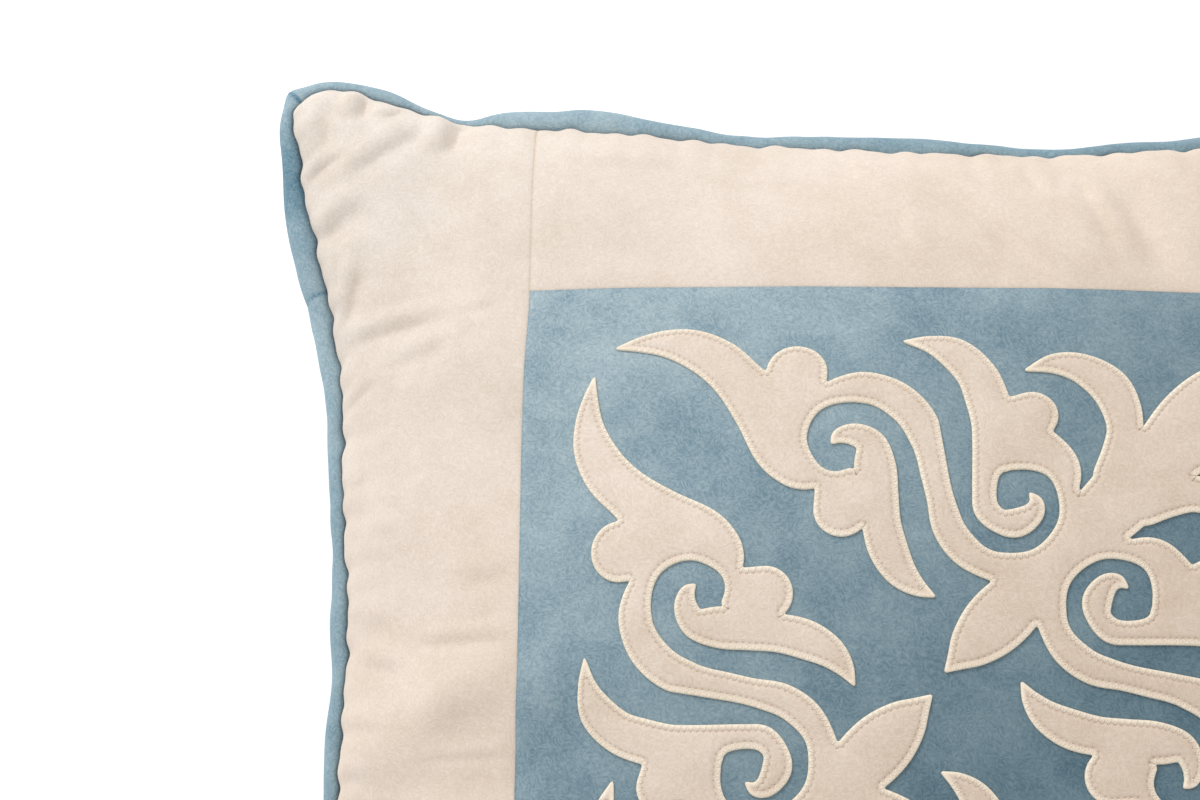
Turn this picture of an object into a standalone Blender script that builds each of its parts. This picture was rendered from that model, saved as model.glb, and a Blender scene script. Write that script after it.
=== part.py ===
"""A 50 cm velvet cushion lying on its back: a filled body with a cream patchwork frame, a blue centre panel,
two cut-out scroll ornaments stitched on it and a soft blue piping round the rim.

Metres, +Z up and out of the front face, +Y towards the top edge of the front, origin on the floor under the middle.
"""

import math

import bpy
import numpy as np
from mathutils import Vector
from mathutils.geometry import delaunay_2d_cdt

MM = 0.001

# Cover, measured flat from the middle of the front
COVER_HALF = 250 * MM
PANEL_HALF = 157 * MM
PANEL_CELLS, BORDER_CELLS = 18, 11
SEAM_HALF_GAP = 0.2 * MM
CLOTH = 1.5 * MM
APPLIQUE_CLOTH = 1.2 * MM
GAP = 0.3 * MM

# Filled form, measured from the plane of the rim seam
FRONT_CROWN = 76 * MM
BACK_CROWN = 76 * MM
BACK_REST = 58 * MM
REST_BLEND = 5 * MM
RIM_HALF = 7 * MM
CROWN_POWER, CROWN_EDGE = 2.3, 0.585
SIDE_DRAW = 26 * MM
PANEL_SPREAD = 4.4 * MM
DRAW_POWER = 1.6
CORNER_PULL, CORNER_POWER = 4.2 * MM, 28
EDGE_POWER = 6
SEAM_DIP, SEAM_REACH = 0.9 * MM, 3 * MM
FILLING_DROP, DROP_SHARE = 3.4 * MM, 0.05

# Piping
PIPING_OUT = 3.2 * MM
PIPING_UP = 6.4 * MM
PIPING_SIDES = 6
SWELL_POWER = 40
CORNER_FINE = (2 * MM, 5 * MM)

CREAM, BLUE, BLUE_EDGE = (0.79, 0.69, 0.60), (0.20, 0.31, 0.37), (0.24, 0.36, 0.42)
VELVET_ROUGHNESS = 0.9

# Soft waves of the rim: side, place along it, reach, outwards, upwards, in millimetres
WAVES = (
    ("top", -238, 14, 0.5, 1.0),
    ("top", -190, 17, 0.0, -6.0),
    ("top", -172, 28, -5.2, 0.0),
    ("top", -133, 32, -1.8, 4.5),
    ("top", -40, 48, 1.0, 2.0),
    ("top", 48, 20, 0.0, -4.0),
    ("top", 112, 36, -4.0, 1.0),
    ("top", 192, 24, 3.5, -3.0),
    ("left", 236, 24, 3.4, 2.0),
    ("left", 134, 34, -5.0, -2.5),
    ("left", 20, 40, -0.8, 2.0),
    ("left", -70, 30, 1.5, -3.0),
    ("left", -150, 30, 3.0, 3.5),
    ("left", -208, 22, 4.0, -2.0),
    ("right", 200, 24, 4.0, 2.5),
    ("right", 130, 30, 1.5, -4.0),
    ("right", 30, 34, -2.5, 2.5),
    ("right", -80, 30, 1.0, -2.0),
    ("right", -196, 26, 4.5, 3.0),
    ("bottom", -204, 24, 4.0, -3.0),
    ("bottom", -120, 32, 2.5, 4.0),
    ("bottom", -20, 36, -2.0, -3.0),
    ("bottom", 80, 30, 1.5, 2.5),
    ("bottom", 170, 26, 3.0, -4.0),
    ("bottom", 222, 18, 2.0, 2.0),
)

# Where the piping is wider or slimmer: side, place along it, reach, half width added, in millimetres
PIPING_SWELLS = (
    ("top", -240, 22, -1.0),
    ("top", -190, 16, -1.8),
    ("top", -138, 30, 1.6),
    ("top", 62, 30, -1.2),
    ("left", 172, 50, 2.0),
    ("left", 92, 26, -0.6),
    ("right", 60, 70, 0.8),
    ("right", -150, 40, -0.7),
    ("bottom", -80, 60, 0.8),
    ("bottom", 120, 40, -0.8),
)

# Creases near one corner: x, y, heading in degrees, half length, width, height, in millimetres
CORNER_CREASES = (
    (-226, 222, 38, 17, 6.5, 2.2),
    (-221, 200, 24, 24, 7.5, 2.8),
    (-186, 217, -52, 20, 7.5, 3.0),
    (-222, 172, 22, 28, 8.5, 3.0),
    (-211, 146, 14, 30, 9.0, 2.6),
    (-205, 119, 11, 26, 9.5, 1.8),
    (-158, 203, -66, 22, 10.0, 1.6),
)
# Each corner in turn: mirrored in x, mirrored in y, swapped, height of its creases
CORNER_TURNS = ((1, 1, False, 1.0), (-1, 1, True, 0.8), (1, -1, True, 0.9), (-1, -1, False, 0.75))

# Broad soft creases along the sides, with the same columns
SIDE_CREASES = (
    (-204, 62, 3, 32, 12, 1.5),
    (-206, 20, -2, 32, 13, 1.7),
    (-203, -32, 4, 30, 13, 1.5),
    (-92, 206, -38, 26, 10, 1.5),
    (4, 188, -30, 30, 11, 1.3),
    (48, 200, -50, 24, 10, 1.5),
    (204, 50, 4, 30, 12, 1.6),
    (206, -14, -5, 30, 12, 1.4),
    (201, -72, 6, 30, 13, 1.5),
    (-66, -204, 80, 28, 12, 1.5),
    (10, -206, 96, 30, 12, 1.6),
    (84, -203, 84, 28, 12, 1.4),
)

# Strokes of half an ornament: x, y and half width down the middle of each, in millimetres
SOLID_STROKES = {
    "blade": (
        (-117.5, 128, 0.5), (-108, 129.4, 3.2), (-98, 129.6, 5.7), (-88, 127.3, 8), (-78, 121.4, 9.2),
        (-69.5, 112.3, 9.6), (-60, 100, 11.6), (-53, 87.5, 12.5), (-48, 82, 12), (-45.5, 79.5, 10.3),
    ),
    "crest": ((-48.8, 116.2, 11.3), (-51, 103, 12)),
    "hook_lobe": ((-32.5, 61.5, 10), (-32.5, 68.5, 9.5)),
    "arch": (
        (-38, 103, 7), (-31, 107.3, 7.3), (-23, 109.6, 6.5), (-12.7, 105.2, 6.9), (-5, 96.2, 6.9),
        (-1, 85.3, 5.7), (0.9, 75.5, 5.3), (3, 66, 5.3), (5.8, 55.5, 6.3), (11.5, 47.2, 6.4),
        (20, 42, 5.8), (29, 40.5, 6.3), (38, 42, 8),
    ),
    "spine": ((36, 36, 12), (47, 47, 12.5), (59, 59, 12), (70, 70, 13), (84, 84, 12)),
    "crown": ((28, 92, 13.3), (36.5, 99.3, 9.2)),
    "crown_lobe": ((33, 86, 12), (41.8, 78.7, 10.8), (42.5, 72, 9.8), (44, 65, 8)),
    "side_leaf": (
        (34.5, 117.7, 0.5), (45.4, 120.7, 4.2), (55.4, 118.9, 6.4), (64.6, 112.3, 8), (69, 103.3, 7.6),
        (70, 94, 6.8), (68.3, 84.5, 7.4), (66, 75.5, 8.6),
    ),
}
HOLLOW_STROKES = {
    "channel": (
        (-10.5, 83.5, 4), (-14.8, 92.3, 3.8), (-21.5, 97.8, 4), (-28.8, 99.4, 4.3), (-36.5, 96.5, 5.3),
        (-40, 89.5, 4.9), (-35.8, 83, 6.3), (-33, 82.6, 5.7),
    ),
    "crown_channel": (
        (8, 98.5, 5.8), (9.4, 84, 5), (10.2, 71, 3.7), (11.8, 62.5, 2.9), (14.3, 56.6, 2.9),
        (20, 50.5, 3), (26, 49.2, 3.1), (33, 50, 3), (38, 54, 3), (41.4, 60, 3), (41.2, 66.5, 3.3),
        (38.5, 71.5, 4.2), (34, 72.2, 5.2), (29.5, 70.5, 6.8),
    ),
}
INNER_STROKES = {
    "hook": (
        (-35.8, 87.3, 0.6), (-32.8, 90.2, 2.9), (-27.3, 90.3, 4.7), (-22, 86.5, 6.2), (-20.8, 77.5, 7.9),
        (-19, 67, 6.8), (-18.3, 56.5, 6.9), (-16, 47, 7), (-11.8, 38.8, 5.6), (-6.2, 33.4, 3.3),
        (0, 30, 0.5),
    ),
    "crown_blade": (
        (-9.5, 129.6, 0.5), (0.5, 128.3, 3.8), (9.3, 124.2, 6.8), (16.6, 115.5, 7.6), (20, 106, 8),
        (22, 96, 7.9), (22.5, 86, 8.2), (19.3, 77.5, 5.2), (18.2, 69, 4.3), (18.9, 62, 4.6),
        (23.5, 57.7, 4.5), (29.3, 57.2, 5.3), (35, 60.6, 4), (36.6, 64.8, 2.5), (34.5, 68.2, 0.6),
    ),
    "end_leaf": (
        (82, 82, 11), (89, 89, 13.8), (98, 98, 15.6), (106.5, 106.5, 14.6), (115, 115, 10.3),
        (123, 123, 5.2), (130, 130, 0.6),
    ),
    "inner_leaf": (
        (3.5, 3.5, 0.5), (9, 9, 4.6), (14, 14, 8.4), (19.5, 19.5, 10.9), (24.5, 24.5, 11.4),
        (30, 30, 10.5),
    ),
}
# Where each ornament's own centre lies on the panel, x and y in millimetres
UPPER_PLACE, LOWER_PLACE = (-1, 1), (1, -0.5)
STROKE_STEP = 0.8
CONTOUR_CELL = 1.0
CONTOUR_REACH = (-150, 150)
CONTOUR_SLACK = 0.38
APPLIQUE_INSET = 5.0
APPLIQUE_LATTICE = 12.0


def clear_scene():
    for obj in list(bpy.data.objects):
        bpy.data.objects.remove(obj, do_unlink=True)


def velvet(name, colour):
    """A Principled material of short pile cloth."""
    material = bpy.data.materials.new(name)
    material.use_nodes = True
    shader = material.node_tree.nodes["Principled BSDF"]
    shader.inputs["Base Color"].default_value = (*colour, 1)
    shader.inputs["Roughness"].default_value = VELVET_ROUGHNESS
    shader.inputs["Metallic"].default_value = 0
    return material


def solid(name, points, faces, material):
    """One object from points and faces, shaded smooth but for its cut edges."""
    mesh = bpy.data.meshes.new(name)
    mesh.from_pydata([tuple(p) for p in points], [], [tuple(int(i) for i in f) for f in faces])
    mesh.validate()
    mesh.shade_smooth()
    mesh.set_sharp_from_angle(angle=math.radians(50))
    mesh.materials.append(material)
    obj = bpy.data.objects.new(name, mesh)
    bpy.context.scene.collection.objects.link(obj)
    return obj


# Shape of the cover, as functions of the flat cover's own x and y


def crown(x, y):
    """Height share of the filled form: 1 in the middle, 0 at the rim."""

    def one_way(r):
        return np.clip(1 - np.abs(r / COVER_HALF) ** CROWN_POWER, 0, 1) ** CROWN_EDGE

    return one_way(x) * one_way(y)


def rim_wave(x, y):
    """Outward and upward shift near the rim, as a sum of soft bumps along each side."""
    dx, dy, dz = np.zeros_like(x), np.zeros_like(x), np.zeros_like(x)
    sides = {"top": (y, x, 0, 1), "bottom": (-y, x, 0, -1), "right": (x, y, 1, 0), "left": (-x, y, -1, 0)}
    for side, place, reach, out, up in WAVES:
        across, along, out_x, out_y = sides[side]
        share = np.clip(across / COVER_HALF, 0, 1) ** EDGE_POWER
        bump = share * np.exp(-(((along - place * MM) / (reach * MM)) ** 2))
        dx += out_x * out * MM * bump
        dy += out_y * out * MM * bump
        dz += up * MM * bump
    return dx, dy, dz


def crease(x, y, row):
    """One soft fold: a ridge with a trough on each side, fading along its length."""
    place_x, place_y, heading, length, width, height = row
    c, s = math.cos(math.radians(heading)), math.sin(math.radians(heading))
    along = ((x - place_x * MM) * c + (y - place_y * MM) * s) / (length * MM)
    across = ((y - place_y * MM) * c - (x - place_x * MM) * s) / (width * MM)
    shape = np.exp(-(across**2)) - 0.5 * np.exp(-((across - 1.6) ** 2)) - 0.5 * np.exp(-((across + 1.6) ** 2))
    return height * MM * shape * np.exp(-(along**2))


def all_creases(x, y):
    """Height of every fold, held to nothing at the rim itself."""
    total = np.zeros_like(x)
    for turn_x, turn_y, swapped, strength in CORNER_TURNS:
        u, v = x * turn_x, y * turn_y
        if swapped:
            u, v = -v, -u
        for row in CORNER_CREASES:
            total += strength * crease(u, v, row)
    for row in SIDE_CREASES:
        total += crease(x, y, row)
    edge = np.maximum(np.abs(x), np.abs(y)) / COVER_HALF
    return total * np.clip((1 - edge) / 0.03, 0, 1)


def plan(x, y):
    """Where a point of the flat cover lies seen from above: sides drawn in, panel spread, corners flared and blunted."""
    a, b = x / COVER_HALF, y / COVER_HALF
    mid_x, mid_y = np.clip(1 - a**2, 0, 1), np.clip(1 - b**2, 0, 1)
    pull_x = SIDE_DRAW * a * np.abs(a) ** 2 * mid_y**DRAW_POWER - PANEL_SPREAD * np.sin(np.pi * a) * mid_y**2
    pull_y = SIDE_DRAW * b * np.abs(b) ** 2 * mid_x**DRAW_POWER - PANEL_SPREAD * np.sin(np.pi * b) * mid_x**2
    blunt = CORNER_PULL * np.abs(a * b) ** CORNER_POWER
    dx, dy, dz = rim_wave(x, y)
    return x - pull_x - np.sign(x) * blunt + dx, y - pull_y - np.sign(y) * blunt + dy, BACK_REST + dz


def front(x, y, drop=0.0, creased=True):
    """Front face of the filled form, at the underside of its cloth."""
    px, py, seam = plan(x, y)
    share = crown(x, y)
    z = seam + RIM_HALF + (FRONT_CROWN - RIM_HALF) * share
    if creased:
        z = z + all_creases(x, y)
        for across, along in ((x, y), (y, x)):
            near = np.exp(-(((np.abs(across) - PANEL_HALF) / SEAM_REACH) ** 2))
            if across is y:
                near = near * (np.abs(along) < PANEL_HALF + SEAM_REACH)
            z = z - SEAM_DIP * near
    return np.stack([px, py, z - drop * np.clip(share / DROP_SHARE, 0, 1)], axis=-1)


def back(x, y):
    """Back face, with soft folds, pressed flat where the cushion lies on it."""
    px, py, seam = plan(x, y)
    depth = RIM_HALF + (BACK_CROWN - RIM_HALF) * crown(x, y) + all_creases(-x, y)
    rest, k = BACK_REST + 0 * depth, REST_BLEND
    eased = rest - (rest + k - depth) ** 2 / (4 * k)
    depth = np.where(depth < rest - k, depth, np.where(depth > rest + k, rest, eased))
    z = np.where(depth >= rest - 1e-9, 0.0, seam - depth)
    return np.stack([px, py, np.maximum(z, 0.0)], axis=-1)


def raised(x, y, height):
    """Points of the front face lifted by a height along its outward normal."""
    step = 0.5 * MM
    along_x = front(np.minimum(x + step, COVER_HALF), y) - front(np.maximum(x - step, -COVER_HALF), y)
    along_y = front(x, np.minimum(y + step, COVER_HALF)) - front(x, np.maximum(y - step, -COVER_HALF))
    normal = np.cross(along_x, along_y)
    normal /= np.linalg.norm(normal, axis=-1, keepdims=True)
    return front(x, y) + normal * height


# Meshing of the cover


def lattice_places():
    """Distances from the middle of the grid lines: even over the panel, closing up towards the rim."""
    inside = PANEL_HALF * np.arange(PANEL_CELLS + 1) / PANEL_CELLS
    eased = 1 - (1 - np.arange(1, BORDER_CELLS + 1) / BORDER_CELLS) ** 1.25
    half = np.concatenate([inside, PANEL_HALF + (COVER_HALF - PANEL_HALF) * eased])
    return np.concatenate([-half[:0:-1], half])


PLACES = lattice_places()
CELLS = PANEL_CELLS + BORDER_CELLS
FINE_FROM = 16
EDGE_CLEAR, CLOUD_CLEAR = 1.2 * MM, 2.5 * MM


def lattice(coarse_panel, coarse_border):
    """Grid points kept sparsely: every one near the corners, every second or fourth elsewhere."""
    index = np.arange(-CELLS, CELLS + 1)
    i, j = np.meshgrid(index, index, indexing="ij")
    panel = np.maximum(np.abs(i), np.abs(j)) < PANEL_CELLS
    corner = (np.abs(i) >= FINE_FROM) & (np.abs(j) >= FINE_FROM)
    step = np.where(panel, coarse_panel, np.where(corner, 1, 2) * coarse_border)
    keep = (i % step == 0) & (j % step == 0)
    keep &= np.maximum(np.abs(i), np.abs(j)) < CELLS
    return PLACES[i[keep] + CELLS], PLACES[j[keep] + CELLS]


def side_places():
    """Places along one side of the rim: close near the corners, wider between."""
    index = [i for i in range(-CELLS, CELLS + 1) if abs(i) >= FINE_FROM or i % 2 == 0]
    places = [PLACES[i + CELLS] for i in index]
    extra = [sign * (COVER_HALF - near) for near in CORNER_FINE for sign in (-1, 1)]
    places = sorted(places + extra)
    kept = [places[0]]
    for place in places[1:]:
        if place - kept[-1] > EDGE_CLEAR:
            kept.append(place)
    return np.array(kept)


def triangles(points, loop=None):
    """Triangles over flat points, inside the closed loop where one is given."""
    coords = [Vector((float(x), float(y))) for x, y in points]
    faces = [] if loop is None else [list(loop)]
    out = delaunay_2d_cdt(coords, [], faces, 0 if loop is None else 1, 1e-7)
    flat = np.array([tuple(v) for v in out[0]])
    tris = np.array([f for f in out[2]], dtype=int)
    a, b, c = flat[tris[:, 0]], flat[tris[:, 1]], flat[tris[:, 2]]
    area = (b[:, 0] - a[:, 0]) * (c[:, 1] - a[:, 1]) - (b[:, 1] - a[:, 1]) * (c[:, 0] - a[:, 0])
    tris = np.where((area < 0)[:, None], tris[:, ::-1], tris)
    return flat, tris[np.abs(area) > 1e-10]


def border_edges(tris):
    """Edges used by one triangle, in the direction that triangle runs."""
    ends = np.concatenate([tris[:, [0, 1]], tris[:, [1, 2]], tris[:, [2, 0]]])
    seen = {(a, b) for a, b in ends.tolist()}
    return [(a, b) for a, b in ends.tolist() if (b, a) not in seen]


def cloth_piece(name, flat, tris, under, thickness, material):
    """A sheet following the front face, from its underside height to its top."""
    x, y = flat[:, 0], flat[:, 1]
    points = np.concatenate([raised(x, y, under), raised(x, y, under + thickness)])
    count = len(flat)
    faces = [tuple(t[::-1]) for t in tris] + [tuple(t + count) for t in tris]
    for a, b in border_edges(tris):
        faces += [(a, b, b + count), (a, b + count, a + count)]
    return solid(name, points, faces, material)


def rectangle(low_x, high_x, low_y, high_y, rim, cloud):
    """Points of one cut rectangle: the rim's places along its edges, grid points inside."""

    def between(low, high):
        inside = rim[(rim > low + EDGE_CLEAR) & (rim < high - EDGE_CLEAR)]
        return np.concatenate([[low], inside, [high]])

    across, up = between(low_x, high_x), between(low_y, high_y)
    edge = [(x, y) for x in across for y in (low_y, high_y)] + [(x, y) for y in up[1:-1] for x in (low_x, high_x)]
    x, y = cloud
    inside = (x > low_x + CLOUD_CLEAR) & (x < high_x - CLOUD_CLEAR)
    inside &= (y > low_y + CLOUD_CLEAR) & (y < high_y - CLOUD_CLEAR)
    return np.concatenate([np.array(edge), np.stack([x[inside], y[inside]], axis=-1)])


# Ornament


def stroke_discs(rows):
    """Discs along a smooth curve through the rows of one stroke."""
    rows = np.array(rows, float)
    ends = np.concatenate([[2 * rows[0] - rows[1]], rows, [2 * rows[-1] - rows[-2]]])
    discs = []
    for p0, p1, p2, p3 in zip(ends, ends[1:], ends[2:], ends[3:]):
        count = max(2, int(np.hypot(*(p2 - p1)[:2]) / STROKE_STEP))
        t = (np.arange(count) / count)[:, None]
        discs.append(0.5 * (2 * p1 + (p2 - p0) * t + (2 * p0 - 5 * p1 + 4 * p2 - p3) * t**2
                            + (3 * p1 - p0 - 3 * p2 + p3) * t**3))
    discs = np.concatenate(discs + [rows[-1:]])
    discs[:, 2] = np.maximum(discs[:, 2], 0.4)
    return discs


def distance(x, y, strokes):
    """Distance to the nearest disc edge of any stroke or of its mirror image over the diagonal, negative inside."""
    nearest = np.full(x.shape, np.inf)
    for rows in strokes.values():
        for cx, cy, r in stroke_discs(rows):
            np.minimum(nearest, np.hypot(x - cx, y - cy) - r, out=nearest)
            np.minimum(nearest, np.hypot(x - cy, y - cx) - r, out=nearest)
    return nearest


def ornament_field(x, y):
    """The solid strokes less the channels, with the inner strokes added."""
    carved = np.maximum(distance(x, y, SOLID_STROKES), -distance(x, y, HOLLOW_STROKES))
    return np.minimum(carved, distance(x, y, INNER_STROKES))


def contour():
    """The ornament's outline as one closed loop, followed through the cells of a fine grid."""
    axis = np.arange(CONTOUR_REACH[0], CONTOUR_REACH[1] + CONTOUR_CELL, CONTOUR_CELL) + 0.013
    x, y = np.meshgrid(axis, axis, indexing="ij")
    field = ornament_field(x, y)
    links = {}
    corners = ((0, 0), (1, 0), (1, 1), (0, 1))
    inside = field < 0
    mixed = inside[:-1, :-1].astype(int) + inside[1:, :-1] + inside[1:, 1:] + inside[:-1, 1:]
    for i, j in zip(*np.nonzero((mixed > 0) & (mixed < 4))):
        crossings = []
        for (ai, aj), (bi, bj) in zip(corners, corners[1:] + corners[:1]):
            a, b = (i + ai, j + aj), (i + bi, j + bj)
            if inside[a] != inside[b]:
                crossings.append((min(a, b), max(a, b), inside[a]))
        for start, end in zip(crossings[0::2], crossings[1::2]):
            if not start[2]:
                start, end = end, start
            links[start[:2]] = end[:2]
    loops = []
    while links:
        first, at = next(iter(links.items()))
        del links[first]
        loop = [first]
        while at != first:
            loop.append(at)
            at = links.pop(at)
        loops.append(loop)
    longest = max(loops, key=len)
    ends = np.array(longest)
    a, b = ends[:, 0], ends[:, 1]
    fa, fb = field[a[:, 0], a[:, 1]], field[b[:, 0], b[:, 1]]
    share = (fa / (fa - fb))[:, None]
    return np.stack([axis[a[:, 0]], axis[a[:, 1]]], -1) * (1 - share) + np.stack([axis[b[:, 0]], axis[b[:, 1]]], -1) * share


def thinned(line, slack):
    """Fewest points of an open line that keep within the slack of it."""
    if len(line) < 3:
        return line
    run = line[-1] - line[0]
    length = np.hypot(*run)
    away = line - line[0]
    off = np.abs(run[0] * away[:, 1] - run[1] * away[:, 0]) / length if length > 0 else np.hypot(away[:, 0], away[:, 1])
    far = int(np.argmax(off))
    if off[far] < slack:
        return line[[0, -1]]
    return np.concatenate([thinned(line[: far + 1], slack)[:-1], thinned(line[far:], slack)])


def ornament_mesh():
    """Flat triangles of the ornament: its thinned outline and a few points inside."""
    loop = contour()
    half = len(loop) // 2
    loop = np.concatenate([thinned(loop[: half + 1], CONTOUR_SLACK)[:-1],
                           thinned(np.concatenate([loop[half:], loop[:1]]), CONTOUR_SLACK)[:-1]])
    grid = np.arange(CONTOUR_REACH[0], CONTOUR_REACH[1], APPLIQUE_LATTICE)
    x, y = (g.ravel() for g in np.meshgrid(grid, grid))
    deep = ornament_field(x, y) < -APPLIQUE_INSET
    points = np.concatenate([loop, np.stack([x[deep], y[deep]], -1)])
    return triangles(points * MM, range(len(loop)))


# Pieces


def rim_loop(places):
    """Flat points round the rim, anticlockwise from the lower left corner."""
    h = COVER_HALF
    side = places[:-1]
    x = np.concatenate([side, np.full(len(side), h), -side, np.full(len(side), -h)])
    y = np.concatenate([np.full(len(side), -h), side, np.full(len(side), h), -side])
    return x, y


def make_body(rim, material):
    """The filled body: front under the cloth, back with its flat resting place, and the narrow wall of the rim."""
    ring_x, ring_y = rim_loop(rim)
    count = len(ring_x)
    parts, offset = [], 0
    for side in ("front", "back"):
        x, y = lattice(4, 2)
        clear = np.maximum(np.abs(x), np.abs(y)) < COVER_HALF - CLOUD_CLEAR
        cloud = np.stack([np.concatenate([ring_x, x[clear]]), np.concatenate([ring_y, y[clear]])], -1)
        flat, tris = triangles(cloud)
        if side == "front":
            points = front(flat[:, 0], flat[:, 1], FILLING_DROP, False)
        else:
            points, tris = back(flat[:, 0], flat[:, 1]), tris[:, ::-1]
        order = {(round(px, 6), round(py, 6)): k for k, (px, py) in enumerate(flat)}
        ring = [order[(round(px, 6), round(py, 6))] + offset for px, py in zip(ring_x, ring_y)]
        parts.append((points, tris + offset, ring))
        offset += len(points)
    (top, top_tris, top_ring), (low, low_tris, low_ring) = parts
    faces = top_tris.tolist() + low_tris.tolist()
    for k in range(count):
        n = (k + 1) % count
        faces += [(low_ring[k], low_ring[n], top_ring[n]), (low_ring[k], top_ring[n], top_ring[k])]
    return solid("cushion_body", np.concatenate([top, low]), faces, material)


def piping_width(x, y):
    """Half width of the piping at a point of the rim: its usual width and the swells of that side."""
    wide = np.full(x.shape, PIPING_OUT)
    sides = {"top": (y, x), "bottom": (-y, x), "right": (x, y), "left": (-x, y)}
    for side, place, reach, wider in PIPING_SWELLS:
        across, along = sides[side]
        share = np.clip(across / COVER_HALF, 0, 1) ** SWELL_POWER
        wide += share * wider * MM * np.exp(-(((along - place * MM) / (reach * MM)) ** 2))
    return wide


def make_piping(rim, material):
    """The soft piping: an oval carried round the rim and mitred at the corners."""
    x, y = rim_loop(rim)
    px, py, seam = plan(x, y)
    line = np.stack([px, py], -1)
    run = np.roll(line, -1, 0) - np.roll(line, 1, 0)
    run /= np.linalg.norm(run, axis=1, keepdims=True)
    out = np.stack([run[:, 1], -run[:, 0]], -1)
    square = np.where(np.abs(x) >= np.abs(y), 1, 0)
    face = np.stack([np.sign(x) * square, np.sign(y) * (1 - square)], -1)
    corner = np.clip((out * face).sum(1), math.cos(math.radians(45)), 1)
    near_corner = np.minimum(np.abs(x), np.abs(y)) > COVER_HALF - 12 * MM
    mitre = np.where(near_corner, 1 / corner, 1.0)
    wide = piping_width(x, y) * mitre
    angle = 2 * math.pi * (np.arange(PIPING_SIDES) + 0.5) / PIPING_SIDES
    reach = GAP + wide[:, None] * (1 - np.cos(angle) / math.cos(math.pi / PIPING_SIDES))
    rise = PIPING_UP * np.sin(angle) / math.cos(math.pi / PIPING_SIDES)
    points = np.stack([
        px[:, None] + out[:, :1] * reach, py[:, None] + out[:, 1:] * reach, seam[:, None] + rise[None, :] + 0 * reach,
    ], -1).reshape(-1, 3)
    faces, count = [], len(x)
    for k in range(count):
        for s in range(PIPING_SIDES):
            a, b = k * PIPING_SIDES + s, k * PIPING_SIDES + (s + 1) % PIPING_SIDES
            c, d = ((k + 1) % count) * PIPING_SIDES + (s + 1) % PIPING_SIDES, ((k + 1) % count) * PIPING_SIDES + s
            faces += [(a, b, c), (a, c, d)]
    return solid("piping", points, faces, material)


def make_cover(rim, cream, blue):
    """The patchwork front: two full-height strips, two strips between them and the centre panel."""
    h, p, g = COVER_HALF, PANEL_HALF, SEAM_HALF_GAP
    cloud = lattice(2, 1)
    cuts = {
        "border_left": (-h, -p - g, -h, h, cream),
        "border_right": (p + g, h, -h, h, cream),
        "border_top": (-p + g, p - g, p + g, h, cream),
        "border_bottom": (-p + g, p - g, -h, -p - g, cream),
        "centre_panel": (-p + g, p - g, -p + g, p - g, blue),
    }
    for name, (low_x, high_x, low_y, high_y, material) in cuts.items():
        flat, tris = triangles(rectangle(low_x, high_x, low_y, high_y, rim, cloud))
        cloth_piece(name, flat, tris, GAP, CLOTH, material)


def make_ornaments(cream):
    """The two stitched-on ornaments, mirror images over the other diagonal, lying on the centre panel."""
    flat, tris = ornament_mesh()
    under = GAP + CLOTH + GAP
    upper, lower = flat + np.array(UPPER_PLACE) * MM, -flat[:, ::-1] + np.array(LOWER_PLACE) * MM
    cloth_piece("ornament_upper", upper, tris, under, APPLIQUE_CLOTH, cream)
    cloth_piece("ornament_lower", lower, tris[:, ::-1], under, APPLIQUE_CLOTH, cream)


clear_scene()
cream_velvet = velvet("cream velvet", CREAM)
blue_velvet = velvet("blue velvet", BLUE)
edge_velvet = velvet("blue velvet piping", BLUE_EDGE)
rim_places = side_places()
make_body(rim_places, blue_velvet)
make_cover(rim_places, cream_velvet, blue_velvet)
make_ornaments(cream_velvet)
make_piping(rim_places, edge_velvet)
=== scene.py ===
import math

import bpy
import numpy as np
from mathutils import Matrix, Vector
from mathutils.geometry import delaunay_2d_cdt


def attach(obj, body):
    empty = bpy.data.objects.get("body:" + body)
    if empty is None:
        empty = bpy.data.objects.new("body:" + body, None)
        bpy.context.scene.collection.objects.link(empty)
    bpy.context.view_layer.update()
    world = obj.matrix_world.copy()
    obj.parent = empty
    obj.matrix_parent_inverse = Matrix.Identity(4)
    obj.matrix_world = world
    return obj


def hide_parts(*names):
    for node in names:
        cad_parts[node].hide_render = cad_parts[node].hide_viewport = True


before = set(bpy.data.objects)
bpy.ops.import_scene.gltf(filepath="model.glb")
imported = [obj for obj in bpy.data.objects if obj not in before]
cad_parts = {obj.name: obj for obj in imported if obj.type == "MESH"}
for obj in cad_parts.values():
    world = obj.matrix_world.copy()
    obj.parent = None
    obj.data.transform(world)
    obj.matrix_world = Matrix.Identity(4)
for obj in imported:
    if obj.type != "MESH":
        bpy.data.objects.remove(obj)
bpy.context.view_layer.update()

MM = 0.001


# Filled body. A polyester filled form in its cover: plump in the middle, drawn in along the sides, thin and
# flared at the corners, pressed flat where it lies. Its back is one piece of blue velvet, and its front is
# hidden under the patchwork that the sections below lay on it.

COVER_HALF = 250 * MM
PANEL_HALF = 157 * MM
FRONT_CROWN, BACK_CROWN, RIM_HALF = 76 * MM, 76 * MM, 7 * MM
BACK_REST, REST_BLEND = 58 * MM, 5 * MM
CROWN_POWER, CROWN_EDGE = 2.3, 0.585
SIDE_DRAW, DRAW_POWER, EDGE_POWER = 26 * MM, 1.6, 6
PANEL_SPREAD = 4.4 * MM
CORNER_PULL, CORNER_POWER = 4.5 * MM, 22
CLOTH, GAP = 1.5 * MM, 0.3 * MM
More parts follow.
